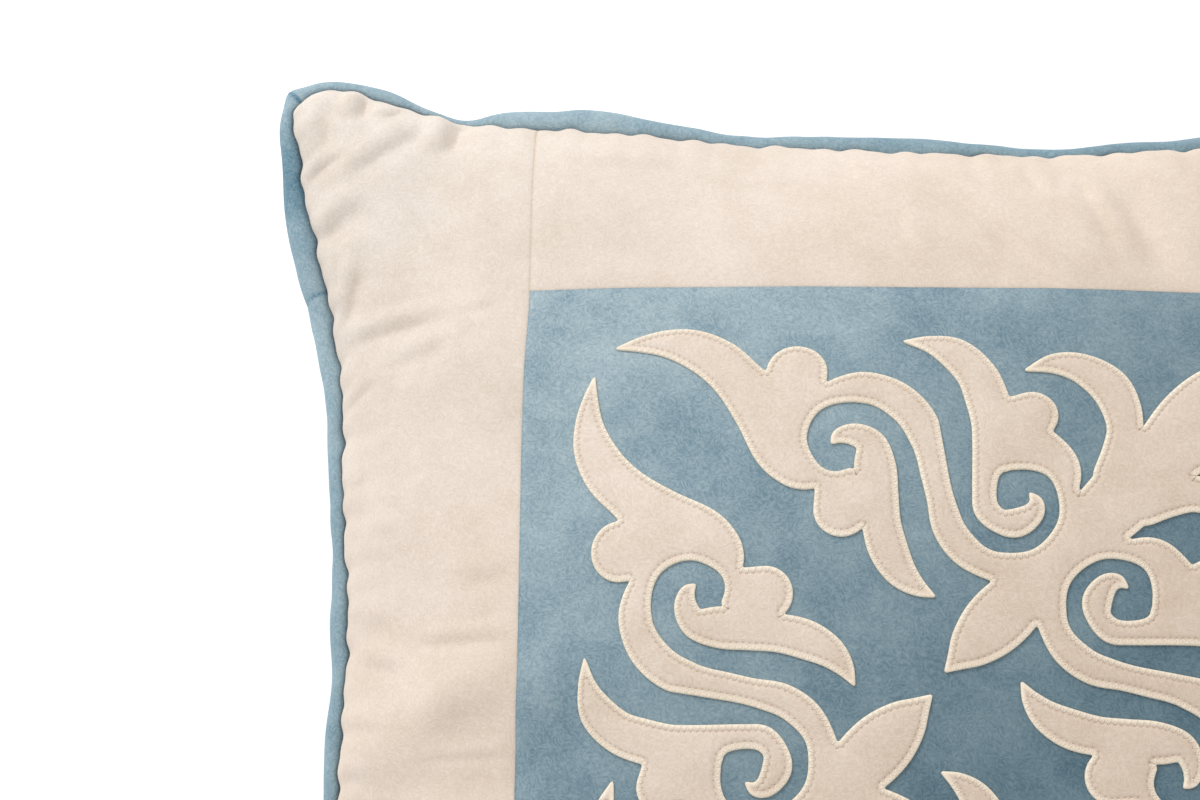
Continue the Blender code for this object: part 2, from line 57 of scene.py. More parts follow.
# Seams between the cloths: depth, half width of their cusp and of the bell round it, and the cusp's share
SEAM_DIP, SEAM_NARROW, SEAM_WIDE, CUSP_SHARE = 1.5 * MM, 0.55 * MM, 4.0 * MM, 0.65
CORNER_DRIFT, RIM_DRIFT, DRIFT_REACH = 2.0 * MM, 1.6 * MM, 28 * MM
DRIFT_START, DRIFT_EASE = 138 * MM, 7 * MM
FILLING_DROP, DROP_SHARE = 3.4 * MM, 0.05
# Distance over which the slopes of the front are measured
SLOPE_STEP = 0.35 * MM

# Soft waves of the rim, side by side: place along it, reach, outwards, upwards, in millimetres
WAVES = {
    "top": (
        (-252, 9, -2.8, 0), (-238, 14, 0.5, 1), (-214, 17, -1.3, 0), (-203, 13, -3.4, 0), (-190, 17, 0, -6),
        (-184, 12, -0.6, 0), (-172, 28, -5.2, 0), (-165, 19, 2.4, 0), (-135, 20, 0.7, 0),
        (-133, 32, -1.8, 4.5), (-105, 24, 2, 0), (-70, 28, -1.1, 0), (-40, 48, 1, 2), (-10, 44, 2.4, 0),
        (48, 20, 0, -4), (80, 40, 0.7, 0), (112, 36, -4, 1), (192, 24, 3.5, -3),
    ),
    "left": (
        (-208, 22, 4, -2), (-150, 30, 3, 3.5), (-70, 30, 1.5, -3), (-8, 28, 1.4, 0), (20, 40, -0.8, 2),
        (84, 22, -0.6, 0), (112, 20, 0.7, 0), (134, 34, -5, -2.5), (160, 18, -2.2, 0), (228, 12, -1.2, 0),
        (236, 24, 2.6, 2),
    ),
    "right": (
        (-196, 26, 4.5, 3), (-80, 30, 1, -2), (30, 34, -2.5, 2.5), (130, 30, 1.5, -4), (200, 24, 4, 2.5),
    ),
    "bottom": (
        (-204, 24, 4, -3), (-120, 32, 2.5, 4), (-20, 36, -2, -3), (80, 30, 1.5, 2.5), (170, 26, 3, -4),
        (222, 18, 2, 2),
    ),
}

# Where the seam at the rim lies further in, under a piping wider by as much: place, reach, distance
SEAM_IN = {
    "top": (
        (-243, 9, -1.2), (-203, 12, -1.3), (-184, 12, 0.2), (-165, 20, 3.4), (-135, 20, 2.5),
        (-105, 24, 3.1), (-70, 28, 0.6), (-10, 48, 4.4), (80, 44, 3.6), (160, 50, 2),
    ),
    "left": (
        (243, 7, -2), (222, 18, 1.2), (185, 18, 2.4), (112, 22, 2), (40, 60, 2.1), (-60, 60, 1.5),
        (-160, 60, 1.5),
    ),
    "right": ((0, 150, 1.8),),
    "bottom": ((0, 150, 1.8),),
}
# Small scallops of that seam, all round: length, height and start of each wave, in millimetres and radians
SCALLOPS = ((17, 0.4, 0.8), (10.5, 0.3, 2.1), (29, 0.35, 4.0))

# Sharp folds near one corner: x, y, heading in degrees, half length, width, height, in millimetres. Each is
# a ridge on the left of its heading with a valley beside it on the right.
CORNER_FOLDS = (
    (-241, 232, 80, 13, 4.4, 2.3), (-225, 246, 83, 8, 2.8, 3.2), (-212, 245, 39, 6, 1.9, 1.3),
    (-215, 226, 42, 22, 3.7, 1.7), (-190, 240, 82, 12, 3.8, 4.7), (-241, 217, 27, 10, 2.7, 1.6),
    (-238, 194, 28, 13, 4.3, 2), (-244, 171, 78, 7, 2.2, 1.5), (-239, 162, 62, 15, 4.2, 2.5),
    (-221, 146, 7, 26, 3.4, 1.5), (-180, 151, 5, 9, 2.7, 0.5), (-206, 134, 13, 14, 3.7, 0.9),
    (-239, 121, 22, 10, 2.7, 1.1),
)
# Each corner in turn: mirrored in x, mirrored in y, swapped, height of its folds
CORNER_TURNS = ((1, 1, False, 1.0), (-1, 1, True, 0.8), (1, -1, True, 0.9), (-1, -1, False, 0.75))

# Folds along the sides, with the same columns
SIDE_FOLDS = (
    (-196, -25, 13, 70, 15, 2.9), (98, 200, -66, 60, 16, 2.4), (-239, 85, 16, 6, 2.7, 0.53),
    (-222, 63, -4, 9, 2.7, 0.35), (-172, 43, 0, 9, 3.7, 0.53), (-236, 30, -10, 14, 3.7, 0.96),
    (-183, 19, -1, 21, 2.7, 0.79), (-231, 14, -16, 18, 3.2, 0.88), (-181, -6, 16, 22, 9, 2.27),
    (-234, -12, -5, 13, 2.7, 0.53), (-179, -24, 1, 19, 1.9, 0.45), (-241, -28, -15, 6, 2.7, 0.88),
    (-118, 224, -11, 14, 4.7, 0.61), (-87, 212, -49, 19, 3.7, 0.61), (-66, 216, -53, 10, 2.7, 0.44),
    (-29, 232, -47, 11, 3.1, 0.53), (-7, 185, -75, 13, 3.7, 0.61), (27, 194, -51, 40, 4.7, 1.57),
    (44, 222, -68, 10, 2.7, 1.05), (68, 200, -76, 23, 3.7, 1.57), (89, 189, -70, 22, 6.3, 1.93),
    (222, 60, 172, 18, 4.5, 1.22), (200, -14, 186, 26, 7, 1.75), (226, -66, 168, 16, 4, 1.05),
    (-66, -214, 262, 20, 5, 1.22), (14, -196, 276, 26, 7, 1.75), (84, -220, 258, 18, 4.5, 1.22),
)

FOLD_PEAK, BESIDE = 1.65, 1.6
# Share of the half cover over which the folds of the front and of the back fade out towards the rim
FRONT_HOLD, BACK_HOLD = 0.016, 0.03
# Folds of the back are none narrower than this, in millimetres
BACK_FOLD_WIDTH = 6.0
# Puckers, in millimetres and degrees: spacing and how far it varies, last place on a side, distance in from
# the rim, height, lean, length and width. Those less than PUCKER_FULL from a side's middle are weaker.
PUCKER_SPACING, PUCKER_SHIFT, PUCKER_LAST, PUCKER_SEED = 12.0, 4, 232, 11
PUCKER_INSET, PUCKER_HEIGHT, PUCKER_LEAN = (6, 20), (0.2, 0.5), 24
PUCKER_LENGTH, PUCKER_WIDTH, PUCKER_FULL, PUCKER_WEAKER = (10, 21), (2.8, 5.2), 130, 0.6
# Lumps of the filling: how many waves, their lengths in millimetres, height as a share of the length
LUMPS, LUMP_SEED, LUMP_LENGTHS, LUMP_HEIGHT = 16, 5, (26, 95), 0.0036
# The lumps show less on the panel: their share there, and where and how fast it rises towards the rim
PANEL_LUMPS, LUMPS_FROM, LUMPS_EASE = 0.35, 0.55, 0.12


def bell(away, width=1.0):
    """Bell-shaped curve: e to the power of minus the square of the distance over the width."""
    return np.exp(-((away / width) ** 2))


def crown(x, y):
    """Height share of the filled form, (1 - |x|^p)^q times the same in y: 1 in the middle, 0 at the rim."""

    def one_way(r):
        return np.clip(1 - np.abs(r / COVER_HALF) ** CROWN_POWER, 0, 1) ** CROWN_EDGE

    return one_way(x) * one_way(y)


def side_bells(table, x, y, power):
    """For each row of a table of the rim: the way out of its side, its bell along that side, fading inwards
    by the power, and its values."""
    sides = {"top": (y, x, 0, 1), "bottom": (-y, x, 0, -1), "right": (x, y, 1, 0), "left": (-x, y, -1, 0)}
    for side, rows in table.items():
        across, along, out_x, out_y = sides[side]
        share = np.clip(across / COVER_HALF, 0, 1) ** power
        for place, reach, *values in rows:
            yield out_x, out_y, share * bell(along - place * MM, reach * MM), values


def rim_wave(x, y):
    """Outward and upward shift near the rim: a sum of bell curves along each side, fading inwards by a
    power."""
    dx, dy, dz = np.zeros_like(x), np.zeros_like(x), np.zeros_like(x)
    for out_x, out_y, bump, (out, up) in side_bells(WAVES, x, y, EDGE_POWER):
        dx += out_x * out * MM * bump
        dy += out_y * out * MM * bump
        dz += up * MM * bump
    return dx, dy, dz


def seam_shift(x, y, power):
    """Shift of the rim's seam towards the middle, in x and in y: the bells of SEAM_IN plus a sum of
    sines."""
    in_x, in_y = np.zeros_like(x), np.zeros_like(x)
    for out_x, out_y, bump, (shift,) in side_bells(SEAM_IN, x, y, power):
        in_x -= out_x * shift * MM * bump
        in_y -= out_y * shift * MM * bump
    for length, height, start in SCALLOPS:
        for total, across, along in ((in_x, x, y), (in_y, y, x)):
            share = np.sign(across) * np.clip(np.abs(across) / COVER_HALF, 0, 1) ** power
            total -= share * height * MM * np.sin(2 * math.pi * along / (length * MM) + start)
    return in_x, in_y


def seam_drift(x, y):
    """Sideways shift of the seam above the panel's upper left corner, which was sewn a little askew: a bell
    across it times a smooth rise up to it."""
    rise = 1 / (1 + np.exp(-(y - DRIFT_START) / DRIFT_EASE))
    up_strip = np.clip((y - PANEL_HALF) / (COVER_HALF - PANEL_HALF), 0, 1)
    return (CORNER_DRIFT + RIM_DRIFT * up_strip) * bell(x + PANEL_HALF, DRIFT_REACH) * rise


def plan(x, y):
    """Where flat cover point x, y lies seen from above, and the rim's height there: sides drawn in by a
    cube of the distance out, panel spread by a sine, corners blunted."""
    a, b = x / COVER_HALF, y / COVER_HALF
    mid_x, mid_y = np.clip(1 - a**2, 0, 1), np.clip(1 - b**2, 0, 1)
    pull_x = SIDE_DRAW * a * a**2 * mid_y**DRAW_POWER - PANEL_SPREAD * np.sin(np.pi * a) * mid_y**2
    pull_y = SIDE_DRAW * b * b**2 * mid_x**DRAW_POWER - PANEL_SPREAD * np.sin(np.pi * b) * mid_x**2
    blunt = CORNER_PULL * np.abs(a * b) ** CORNER_POWER
    dx, dy, dz = rim_wave(x, y)
    in_x, in_y = seam_shift(x, y, 2 * EDGE_POWER)
    dx = dx + seam_drift(x, y) + in_x
    return x - pull_x - np.sign(x) * blunt + dx, y - pull_y - np.sign(y) * blunt + dy + in_y, BACK_REST + dz


def crease(x, y, row, fold=False):
    """One crease, fading along its length. Soft: a bell-shaped ridge less half a bell on each side. As a
    fold: the distance across times a bell, which is a ridge and a valley side by side, raised by FOLD_PEAK
    so that they reach the height given."""
    place_x, place_y, heading, length, width, height = row
    c, s = math.cos(math.radians(heading)), math.sin(math.radians(heading))
    along = ((x - place_x * MM) * c + (y - place_y * MM) * s) / (length * MM)
    across = ((y - place_y * MM) * c - (x - place_x * MM) * s) / (width * MM)
    if fold:
        return height * MM * FOLD_PEAK * across * np.exp(-0.5 * across**2 - along**4)
    beside = bell(across - BESIDE) + bell(across + BESIDE)
    return height * MM * (bell(across) - 0.5 * beside) * bell(along)


def main_folds(x, y, narrowest=0.0):
    """The folds of the four corners and those along the sides, none narrower than given."""
    total = np.zeros_like(x)

    def lay(u, v, row, strength):
        near = np.hypot(u - row[0] * MM, v - row[1] * MM) < (2 * row[3] + 4 * max(row[4], narrowest)) * MM
        if near.any():
            wide = (*row[:4], max(row[4], narrowest), strength * row[5])
            total[near] += crease(u[near], v[near], wide, fold=True)

    for turn_x, turn_y, swapped, strength in CORNER_TURNS:
        u, v = x * turn_x, y * turn_y
        if swapped:
            u, v = -v, -u
        for row in CORNER_FOLDS:
            lay(u, v, row, strength)
    for row in SIDE_FOLDS:
        lay(x, y, row, 1.0)
    return total


def pucker_rows():
    """Short creases square to the rim, every PUCKER_SPACING along it, their lean, length and depth drawn at
    random."""
    draw = np.random.default_rng(PUCKER_SEED)
    rows = []
    for side in range(4):
        for place in np.arange(-PUCKER_LAST, PUCKER_LAST + 1, PUCKER_SPACING):
            along = place + draw.uniform(-PUCKER_SHIFT, PUCKER_SHIFT)
            inset = COVER_HALF / MM - draw.uniform(*PUCKER_INSET)
            height = draw.uniform(*PUCKER_HEIGHT) * (1.0 if abs(along) > PUCKER_FULL else PUCKER_WEAKER)
            lean = draw.uniform(-PUCKER_LEAN, PUCKER_LEAN)
            length, width = draw.uniform(*PUCKER_LENGTH), draw.uniform(*PUCKER_WIDTH)
            x, y, heading = ((inset, along, lean), (-along, inset, 90 + lean), (-inset, -along, lean),
                             (along, -inset, 90 + lean))[side]
            rows.append((x, y, heading, length, width, height))
    return rows


PUCKERS = pucker_rows()


def puckers(x, y):
    """Sum of the short rim creases, each worked out only where it reaches."""
    total = np.zeros_like(x)
    for row in PUCKERS:
        near = np.hypot(x - row[0] * MM, y - row[1] * MM) < 3 * row[3] * MM
        if near.any():
            total[near] += crease(x[near], y[near], row)
    return total


def lumps(x, y):
    """Unevenness of the filling: a sum of plane waves 26 to 95 mm long in random directions, higher for
    long ones."""
    draw = np.random.default_rng(LUMP_SEED)
    total = np.zeros_like(x)
    for _ in range(LUMPS):
        wave, turn = draw.uniform(*LUMP_LENGTHS) * MM, draw.uniform(0, math.pi)
        phase = draw.uniform(0, 2 * math.pi)
        run = x * math.cos(turn) + y * math.sin(turn)
        total += LUMP_HEIGHT * wave * np.sin(2 * math.pi * run / wave + phase)
    return total


def seam_valley(x, y):
    """Depth of the seams round the panel and down the strips: a narrow cusp in a wide shallow bell."""
    depth = np.zeros_like(x)
    for across, along, whole in ((x, y, True), (y, x, False)):
        away = np.abs(np.abs(across) - PANEL_HALF)
        profile = CUSP_SHARE * np.exp(-away / SEAM_NARROW) + (1 - CUSP_SHARE) * bell(away, SEAM_WIDE)
        if not whole:
            profile = profile * (np.abs(along) < PANEL_HALF + 0.4 * MM)
        depth = np.maximum(depth, profile)
    return SEAM_DIP * depth


def front(x, y, drop=0.0, detailed=True):
    """Front face of the filled form, at the underside of its cloth."""
    px, py, seam = plan(x, y)
    share = crown(x, y)
    z = seam + RIM_HALF + (FRONT_CROWN - RIM_HALF) * share
    if detailed:
        edge = np.maximum(np.abs(x), np.abs(y)) / COVER_HALF
        hold = np.clip((1 - edge) / FRONT_HOLD, 0, 1)
        border = np.clip((edge - LUMPS_FROM) / LUMPS_EASE, PANEL_LUMPS, 1)
        z = z + hold * (main_folds(x, y) + puckers(x, y) + border * lumps(x, y)) - seam_valley(x, y)
    return np.stack([px, py, z - drop * np.clip(share / DROP_SHARE, 0, 1)], axis=-1)


def back(x, y):
    """Back face with its folds, eased by a parabola into the flat place it lies on."""
    px, py, seam = plan(x, y)
    edge = np.maximum(np.abs(x), np.abs(y)) / COVER_HALF
    hold = np.clip((1 - edge) / BACK_HOLD, 0, 1)
    unevenness = main_folds(-x, y, BACK_FOLD_WIDTH) + puckers(-x, y) + lumps(y, x)
    depth = RIM_HALF + (BACK_CROWN - RIM_HALF) * crown(x, y) + hold * unevenness
    k = REST_BLEND
    eased = BACK_REST - (BACK_REST + k - depth) ** 2 / (4 * k)
    depth = np.where(depth < BACK_REST - k, depth, np.where(depth > BACK_REST + k, BACK_REST, eased))
    z = np.where(depth >= BACK_REST - 1e-9, 0.0, seam - depth)
    return np.stack([px, py, np.maximum(z, 0.0)], axis=-1)


def raised(x, y, height):
    """Front face points lifted by a height along the face's normal, which is the cross product of its two
    slopes."""
    step = SLOPE_STEP
    along_x = front(np.minimum(x + step, COVER_HALF), y) - front(np.maximum(x - step, -COVER_HALF), y)
    along_y = front(x, np.minimum(y + step, COVER_HALF)) - front(x, np.maximum(y - step, -COVER_HALF))
    normal = np.cross(along_x, along_y)
    normal /= np.linalg.norm(normal, axis=-1, keepdims=True)
    return front(x, y) + normal * np.asarray(height)[..., None]


def grid_faces(rows, columns):
    """Quads of a grid of points stored row by row."""
    r = np.arange(rows - 1)[:, None]
    c = np.arange(columns - 1)[None, :]
    a, b = r * columns + c, (r + 1) * columns + c
    return np.stack([a, b, b + 1, a + 1], axis=-1).reshape(-1, 4)


def piece(name, points, faces, material):
    """A smooth-shaded mesh object with its place in its mesh."""
    mesh = bpy.data.meshes.new(name)
    mesh.from_pydata(points.reshape(-1, 3).tolist(), [], [face.tolist() for face in faces])
    mesh.validate()
    mesh.shade_smooth()
    mesh.materials.append(material)
    obj = bpy.data.objects.new(name, mesh)
    bpy.context.scene.collection.objects.link(obj)
    return obj


def linear(colour):
    """sRGB hex such as "A1B2C3" as linear red, green, blue and full alpha."""
    values = np.array([int(colour[i : i + 2], 16) for i in (0, 2, 4)]) / 255
    values = np.where(values <= 0.04045, values / 12.92, ((values + 0.055) / 1.055) ** 2.4)
    return (*values.tolist(), 1.0)


def feed(tree, node, inputs):
    """Sets a node's inputs, named or numbered, to values, to outputs or to the first output of a node."""
    for key, value in inputs.items():
        if isinstance(value, bpy.types.Node):
            value = value.outputs[0]
        if isinstance(value, bpy.types.NodeSocket):
            tree.links.new(value, node.inputs[key])
        else:
            node.inputs[key].default_value = value


def add(tree, kind, inputs=None, **settings):
    """Adds a shader node of the kind, with its settings and what its inputs are fed."""
    new = tree.nodes.new("ShaderNode" + kind)
    for key, value in settings.items():
        setattr(new, key, value)
    feed(tree, new, inputs or {})
    return new


def new_material(name):
    """A material of the name, with its node tree, its shader and the place on the object."""
    material = bpy.data.materials.new(name)
    material.use_nodes = True
    tree = material.node_tree
    place = add(tree, "TexCoord").outputs["Object"]
    return material, tree, tree.nodes["Principled BSDF"], place


def store(obj, label, values):
    """A number at each point of a piece, which its material reads."""
    obj.data.attributes.new(label, "FLOAT", "POINT").data.foreach_set("value", values)


def per_metre(size_mm):
    """Noise scale whose features are about size_mm across."""
    return 1 / (size_mm * MM)


# Size of the velvet's features, in millimetres: tufts, the swirls that bend them, the areas in which they
# lean one way, finger marks and brushed areas; and how far a swirl bends a tuft
TUFT_SIZE, SWIRL_SIZE, LEAN_SIZE, FINGER_SIZE, BRUSHED_SIZE, SWIRL_BEND = 0.7, 4, 5, 12, 32, 4.5


def velvet(name, painted_light_tones, contrast, tint, sheen, seed, lit_cut_edge=None):
    """Short pile velvet. Its tones run from the cushion's upper left to its lower right as painted light and
    sheen:
    lighter towards the key light at the upper left, darker away from it. contrast is how much the pile's lean
    changes them, and tint how much of that red, green and blue each take. The pile stands in leaning tufts,
    drawn as wavering strokes about 0.35 by 1.1 mm, coarser than the real pile so that they show; under them
    lie faint finger marks and broad brushed areas. The cut edge colour is the raw edge's warm colour,
    lightened as painted light, where the attribute "edge" is near 0. The painted shade attribute is 1 in
    seams and needle holes, and it darkens them and the piping's grooves as painted shade."""
    material, tree, shader, place = new_material(name)
    start = (seed * 1.3, seed * 0.7, seed * 0.4)
    at = add(tree, "Mapping", {"Vector": place, "Location": start})

    swirl = add(tree, "TexNoise", {"Vector": at, "Scale": per_metre(SWIRL_SIZE), "Detail": 1.0})
    lean = add(tree, "VectorMath", {0: swirl.outputs["Color"], "Scale": SWIRL_BEND * MM}, operation="SCALE")
    bent = add(tree, "VectorMath", {0: at, 1: lean}, operation="ADD")
    tufts = []
    for turn in (0.35, 1.6):
        drawn = add(tree, "Mapping", {"Vector": bent, "Rotation": (0, 0, turn), "Scale": (1, 3.0, 1)},
                    vector_type="TEXTURE")
        tufts.append(add(tree, "TexNoise", {"Vector": drawn, "Scale": per_metre(TUFT_SIZE), "Detail": 1.0}))
    patch_of = add(tree, "TexNoise", {"Vector": at, "Scale": per_metre(LEAN_SIZE), "Detail": 1.0})
    which = add(tree, "MapRange", {"Value": patch_of, "From Min": 0.44, "From Max": 0.56})
    strokes = add(tree, "Mix", {"Factor": which, 2: tufts[0], 3: tufts[1]})
    pile = add(tree, "MapRange",
               {"Value": strokes, "From Min": 0.34, "From Max": 0.66, "To Min": -1.0, "To Max": 1.0})
    marks = []
    for size, detail, distortion in ((FINGER_SIZE, 3.0, 0.6), (BRUSHED_SIZE, 2.0, 0.0)):
        noise = add(tree, "TexNoise",
                    {"Vector": at, "Scale": per_metre(size), "Detail": detail, "Distortion": distortion})
        marks.append(add(tree, "MapRange", {"Value": noise, "From Min": 0.3, "From Max": 0.7,
                                            "To Min": -1.0, "To Max": 1.0}))
    finger, brushed_pile_and_shade = marks

    # Painted light and sheen: the colour ramps by x minus y from the lit tone at the upper left to the shaded
    # tone at the lower right
    split = add(tree, "SeparateXYZ", {0: place})
    away_from_light = add(tree, "Math", {0: split.outputs["X"], 1: split.outputs["Y"]}, operation="SUBTRACT")
    across = add(tree, "MapRange", {"Value": away_from_light, "From Min": -0.42, "From Max": 0.06})
    colour = add(tree, "ValToRGB", {"Fac": across})
    shades = colour.color_ramp.elements
    shades[0].color, shades[1].color = linear(painted_light_tones[0]), linear(painted_light_tones[2])
    shades.new(0.5).color = linear(painted_light_tones[1])
    # The raw cut edge's own warm colour, lightened as painted light where the rim slopes away from the light
    if lit_cut_edge:
        near = add(tree, "Attribute", attribute_name="edge")
        lit_raw_edge = add(tree, "MapRange", {"Value": near.outputs["Fac"], "From Min": 0.4, "From Max": 1.9,
                                     "To Min": 1.0, "To Max": 0.0})
        colour = add(tree, "Mix", {"Factor": lit_raw_edge, 6: colour, 7: linear(lit_cut_edge)},
                     data_type="RGBA").outputs[2]
    shade = add(tree, "Math", {0: finger, 1: 0.5, 2: pile}, operation="MULTIPLY_ADD")
    shade = add(tree, "Math", {0: brushed_pile_and_shade, 1: 0.75, 2: shade}, operation="MULTIPLY_ADD")
    # Painted shade: the attribute darkens seams, needle holes, the piping's grooves and its left side
    painted_shade = add(tree, "Attribute", attribute_name="painted_shade").outputs["Fac"]
    shade = add(tree, "Math", {0: painted_shade, 1: -0.5 / contrast, 2: shade}, operation="MULTIPLY_ADD")
    lit = add(tree, "VectorMath", {0: shade, 1: tuple(contrast * t for t in tint), 2: (1, 1, 1)},
              operation="MULTIPLY_ADD")
    colour = add(tree, "VectorMath", {0: colour, 1: lit}, operation="MULTIPLY")

    height = add(tree, "Math", {0: finger, 1: 0.8, 2: pile}, operation="MULTIPLY_ADD")
    bump = add(tree, "Bump", {"Height": height, "Strength": 0.35, "Distance": 0.1 * MM})
    feed(tree, shader, {"Base Color": colour, "Normal": bump, "Roughness": 0.92, "Specular IOR Level": 0.15,
                        "Sheen Weight": sheen, "Sheen Roughness": 0.42, "Sheen Tint": linear(painted_light_tones[0])})
    return material


# Share of red, green and blue in the changes of each velvet: darker blue is deeper, darker cream is warmer
BLUE_TINT, CREAM_TINT = (1.35, 1.0, 0.8), (0.8, 1.0, 1.3)
# Its three tones run from lit at the upper left to shaded at the lower right: painted light and sheen
blue_velvet = velvet("blue cotton velvet", ("ACBEC6", "94AAB5", "69818D"), 0.155, BLUE_TINT, 0.25, 3)
# Lines of the body's mesh, drawn closer towards the rim by this share of a sine
BODY_LINES, CLOSER = 123, 0.55
even_lines = np.linspace(-1, 1, BODY_LINES)
body_lines = COVER_HALF * (np.sin(even_lines * math.pi / 2) * CLOSER + even_lines * (1 - CLOSER))


def body_mesh():
    """Front and back over the same square of lines; the back's edge points join the front's through the rim
    wall."""
    count = len(body_lines)
    x, y = np.meshgrid(body_lines, body_lines, indexing="ij")
    top = front(x, y, FILLING_DROP, False).reshape(-1, 3)
    low = back(x, y).reshape(-1, 3)
    index = np.arange(count * count).reshape(count, count)
    ring = np.concatenate([index[:-1, 0], index[-1, :-1], index[:0:-1, -1], index[0, :0:-1]])
    wall = np.stack([ring, ring + count**2, np.roll(ring, -1) + count**2, np.roll(ring, -1)], axis=-1)
    quads = grid_faces(count, count)
    return np.concatenate([top, low]), np.concatenate([quads, quads[:, ::-1] + count**2, wall[:, ::-1]])


filled_body = piece("filled_body", *body_mesh(), blue_velvet)
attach(filled_body, "root")
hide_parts("cushion_body")


# Patchwork border. Four strips of cream velvet, 93 mm wide on the cloth: two run the full height and two
# are sewn between them. Each edge turns down into its seam, and the pile hides the thread.

STRIP_STEP, FINE_STEP = 2.0 * MM, 1.25 * MM
SEAM_HALF_GAP, TURNED_IN = 0.2 * MM, 1.2 * MM
# Closer lines of the mesh: distances from a seam between two cloths, and from the seam at the rim, in
# millimetres
SEAM_ROWS = (0.3, 0.65, 1.1, 1.7, 2.6)
RIM_ROWS = (0.25, 0.8, 1.7, 3.0, 4.6)
# How dark the seams are painted: painted shade
SEAM_SHADE = 0.9

# Cream tones from lit at the upper left to shaded at the lower right: painted light and sheen
CREAM_PAINTED_LIGHT_TONES = ("E4DAD0", "E7D8CA", "DFCDBC")
cream_velvet = velvet("cream cotton velvet", CREAM_PAINTED_LIGHT_TONES, 0.06, CREAM_TINT, 0.12, 8)


def stations(low, high, low_rows, high_rows, step):
    """Places from low to high: even steps, with closer ones at the given distances from each end."""
    near_low, near_high = low + np.array((0, *low_rows)) * MM, high - np.array((0, *high_rows))[::-1] * MM
    count = max(2, round((near_high[0] - near_low[-1]) / step))
    return np.concatenate([near_low, np.linspace(near_low[-1], near_high[0], count + 1)[1:-1], near_high])


def patch(name, span_x, span_y, material, turned, step):
    """A cut rectangle laid on the front face; each side named in turned gets one more row, straight down its
    seam. Painted shade in the seams: the shade attribute that darkens them falls off from the seams as a
    bell."""
    lines = []
    for span, ends in ((span_x, ("left", "right")), (span_y, ("low", "high"))):
        places = stations(*span, *(SEAM_ROWS if end in turned else RIM_ROWS for end in ends), step)
        more = [int(end in turned) for end in ends]
        heights = np.pad(np.full(len(places), CLOTH + GAP), more, constant_values=GAP - TURNED_IN)
        lines.append((np.pad(places, more, "edge"), heights))
    (x, height_x), (y, height_y) = lines
    grid_x, grid_y = np.meshgrid(x, y, indexing="ij")
    points = raised(grid_x, grid_y, np.minimum(height_x[:, None], height_y[None, :]))
    obj = piece(name, points, grid_faces(len(x), len(y)), material)
    sides = {"left": grid_x - x[0], "right": x[-1] - grid_x, "low": grid_y - y[0], "high": y[-1] - grid_y}
    away = np.min([sides[side] for side in turned], axis=0)
    store(obj, "painted_shade", (SEAM_SHADE * bell(away, SEAM_NARROW)).ravel())
    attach(obj, "root")
    return obj


# Spans between the seams: over the panel, up the whole cover, and the border on either side of the panel
across_panel = (-PANEL_HALF + SEAM_HALF_GAP, PANEL_HALF - SEAM_HALF_GAP)
whole_side = (-COVER_HALF, COVER_HALF)
low_border = (-COVER_HALF, -PANEL_HALF - SEAM_HALF_GAP)
high_border = (PANEL_HALF + SEAM_HALF_GAP, COVER_HALF)
STRIPS = {
    "border_left": (low_border, whole_side, ("right",), FINE_STEP),
    "border_right": (high_border, whole_side, ("left",), STRIP_STEP),
    "border_top": (across_panel, high_border, ("left", "right", "low"), FINE_STEP),
    "border_bottom": (across_panel, low_border, ("left", "right", "high"), STRIP_STEP),
}
for strip_name, (span_x, span_y, turned, step) in STRIPS.items():
    strip = patch(f"{strip_name}_velvet", span_x, span_y, cream_velvet, turned, step)
    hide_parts(strip_name)


# Centre panel. One square of the blue velvet, 314 mm a side, sewn into the frame of strips.

panel = patch("centre_panel_velvet", across_panel, across_panel, blue_velvet,
              ("left", "right", "low", "high"), STRIP_STEP)
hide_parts("centre_panel")


# Scroll ornaments. Two mirror-image pieces of cream velvet, each symmetrical over the diagonal, cut out and
# laid on the panel. Their cut edge is left raw and stitched down 2.3 mm in, so the rim puffs up between cut
# and stitches.

# Strokes of half an ornament: x, y and half width down the middle of each, in millimetres
SOLID_STROKES = (
    (
        (-117.5, 128, 0.5), (-108, 129.4, 3.2), (-98, 129.6, 5.7), (-88, 127.3, 8), (-78, 121.4, 9.2),
        (-69.5, 112.3, 9.6), (-60, 100, 11.6), (-53, 87.5, 12.5), (-48, 82, 12), (-45.5, 79.5, 10.3),
    ),
    ((-48.8, 116.2, 11.3), (-51, 103, 12)),
    ((-32.5, 61.5, 10), (-32.5, 68.5, 9.5)),
    (
        (-38, 103, 7), (-31, 107.3, 7.3), (-23, 109.6, 6.5), (-12.7, 105.2, 6.9), (-5, 96.2, 6.9),
        (-1, 85.3, 5.7), (0.9, 75.5, 5.3), (3, 66, 5.3), (5.8, 55.5, 6.3), (11.5, 47.2, 6.4), (20, 42, 5.8),
        (29, 40.5, 6.3), (38, 42, 8),
    ),
    ((36, 36, 12), (47, 47, 12.5), (59, 59, 12), (70, 70, 13), (84, 84, 12)),
    ((28, 92, 13.3), (36.5, 99.3, 9.2)),
    ((33, 86, 12), (41.8, 78.7, 10.8), (42.5, 72, 9.8), (44, 65, 8)),
    (
        (34.5, 117.7, 0.5), (45.4, 120.7, 4.2), (55.4, 118.9, 6.4), (64.6, 112.3, 8), (69, 103.3, 7.6),
        (70, 94, 6.8), (68.3, 84.5, 7.4), (66, 75.5, 8.6),
    ),
)
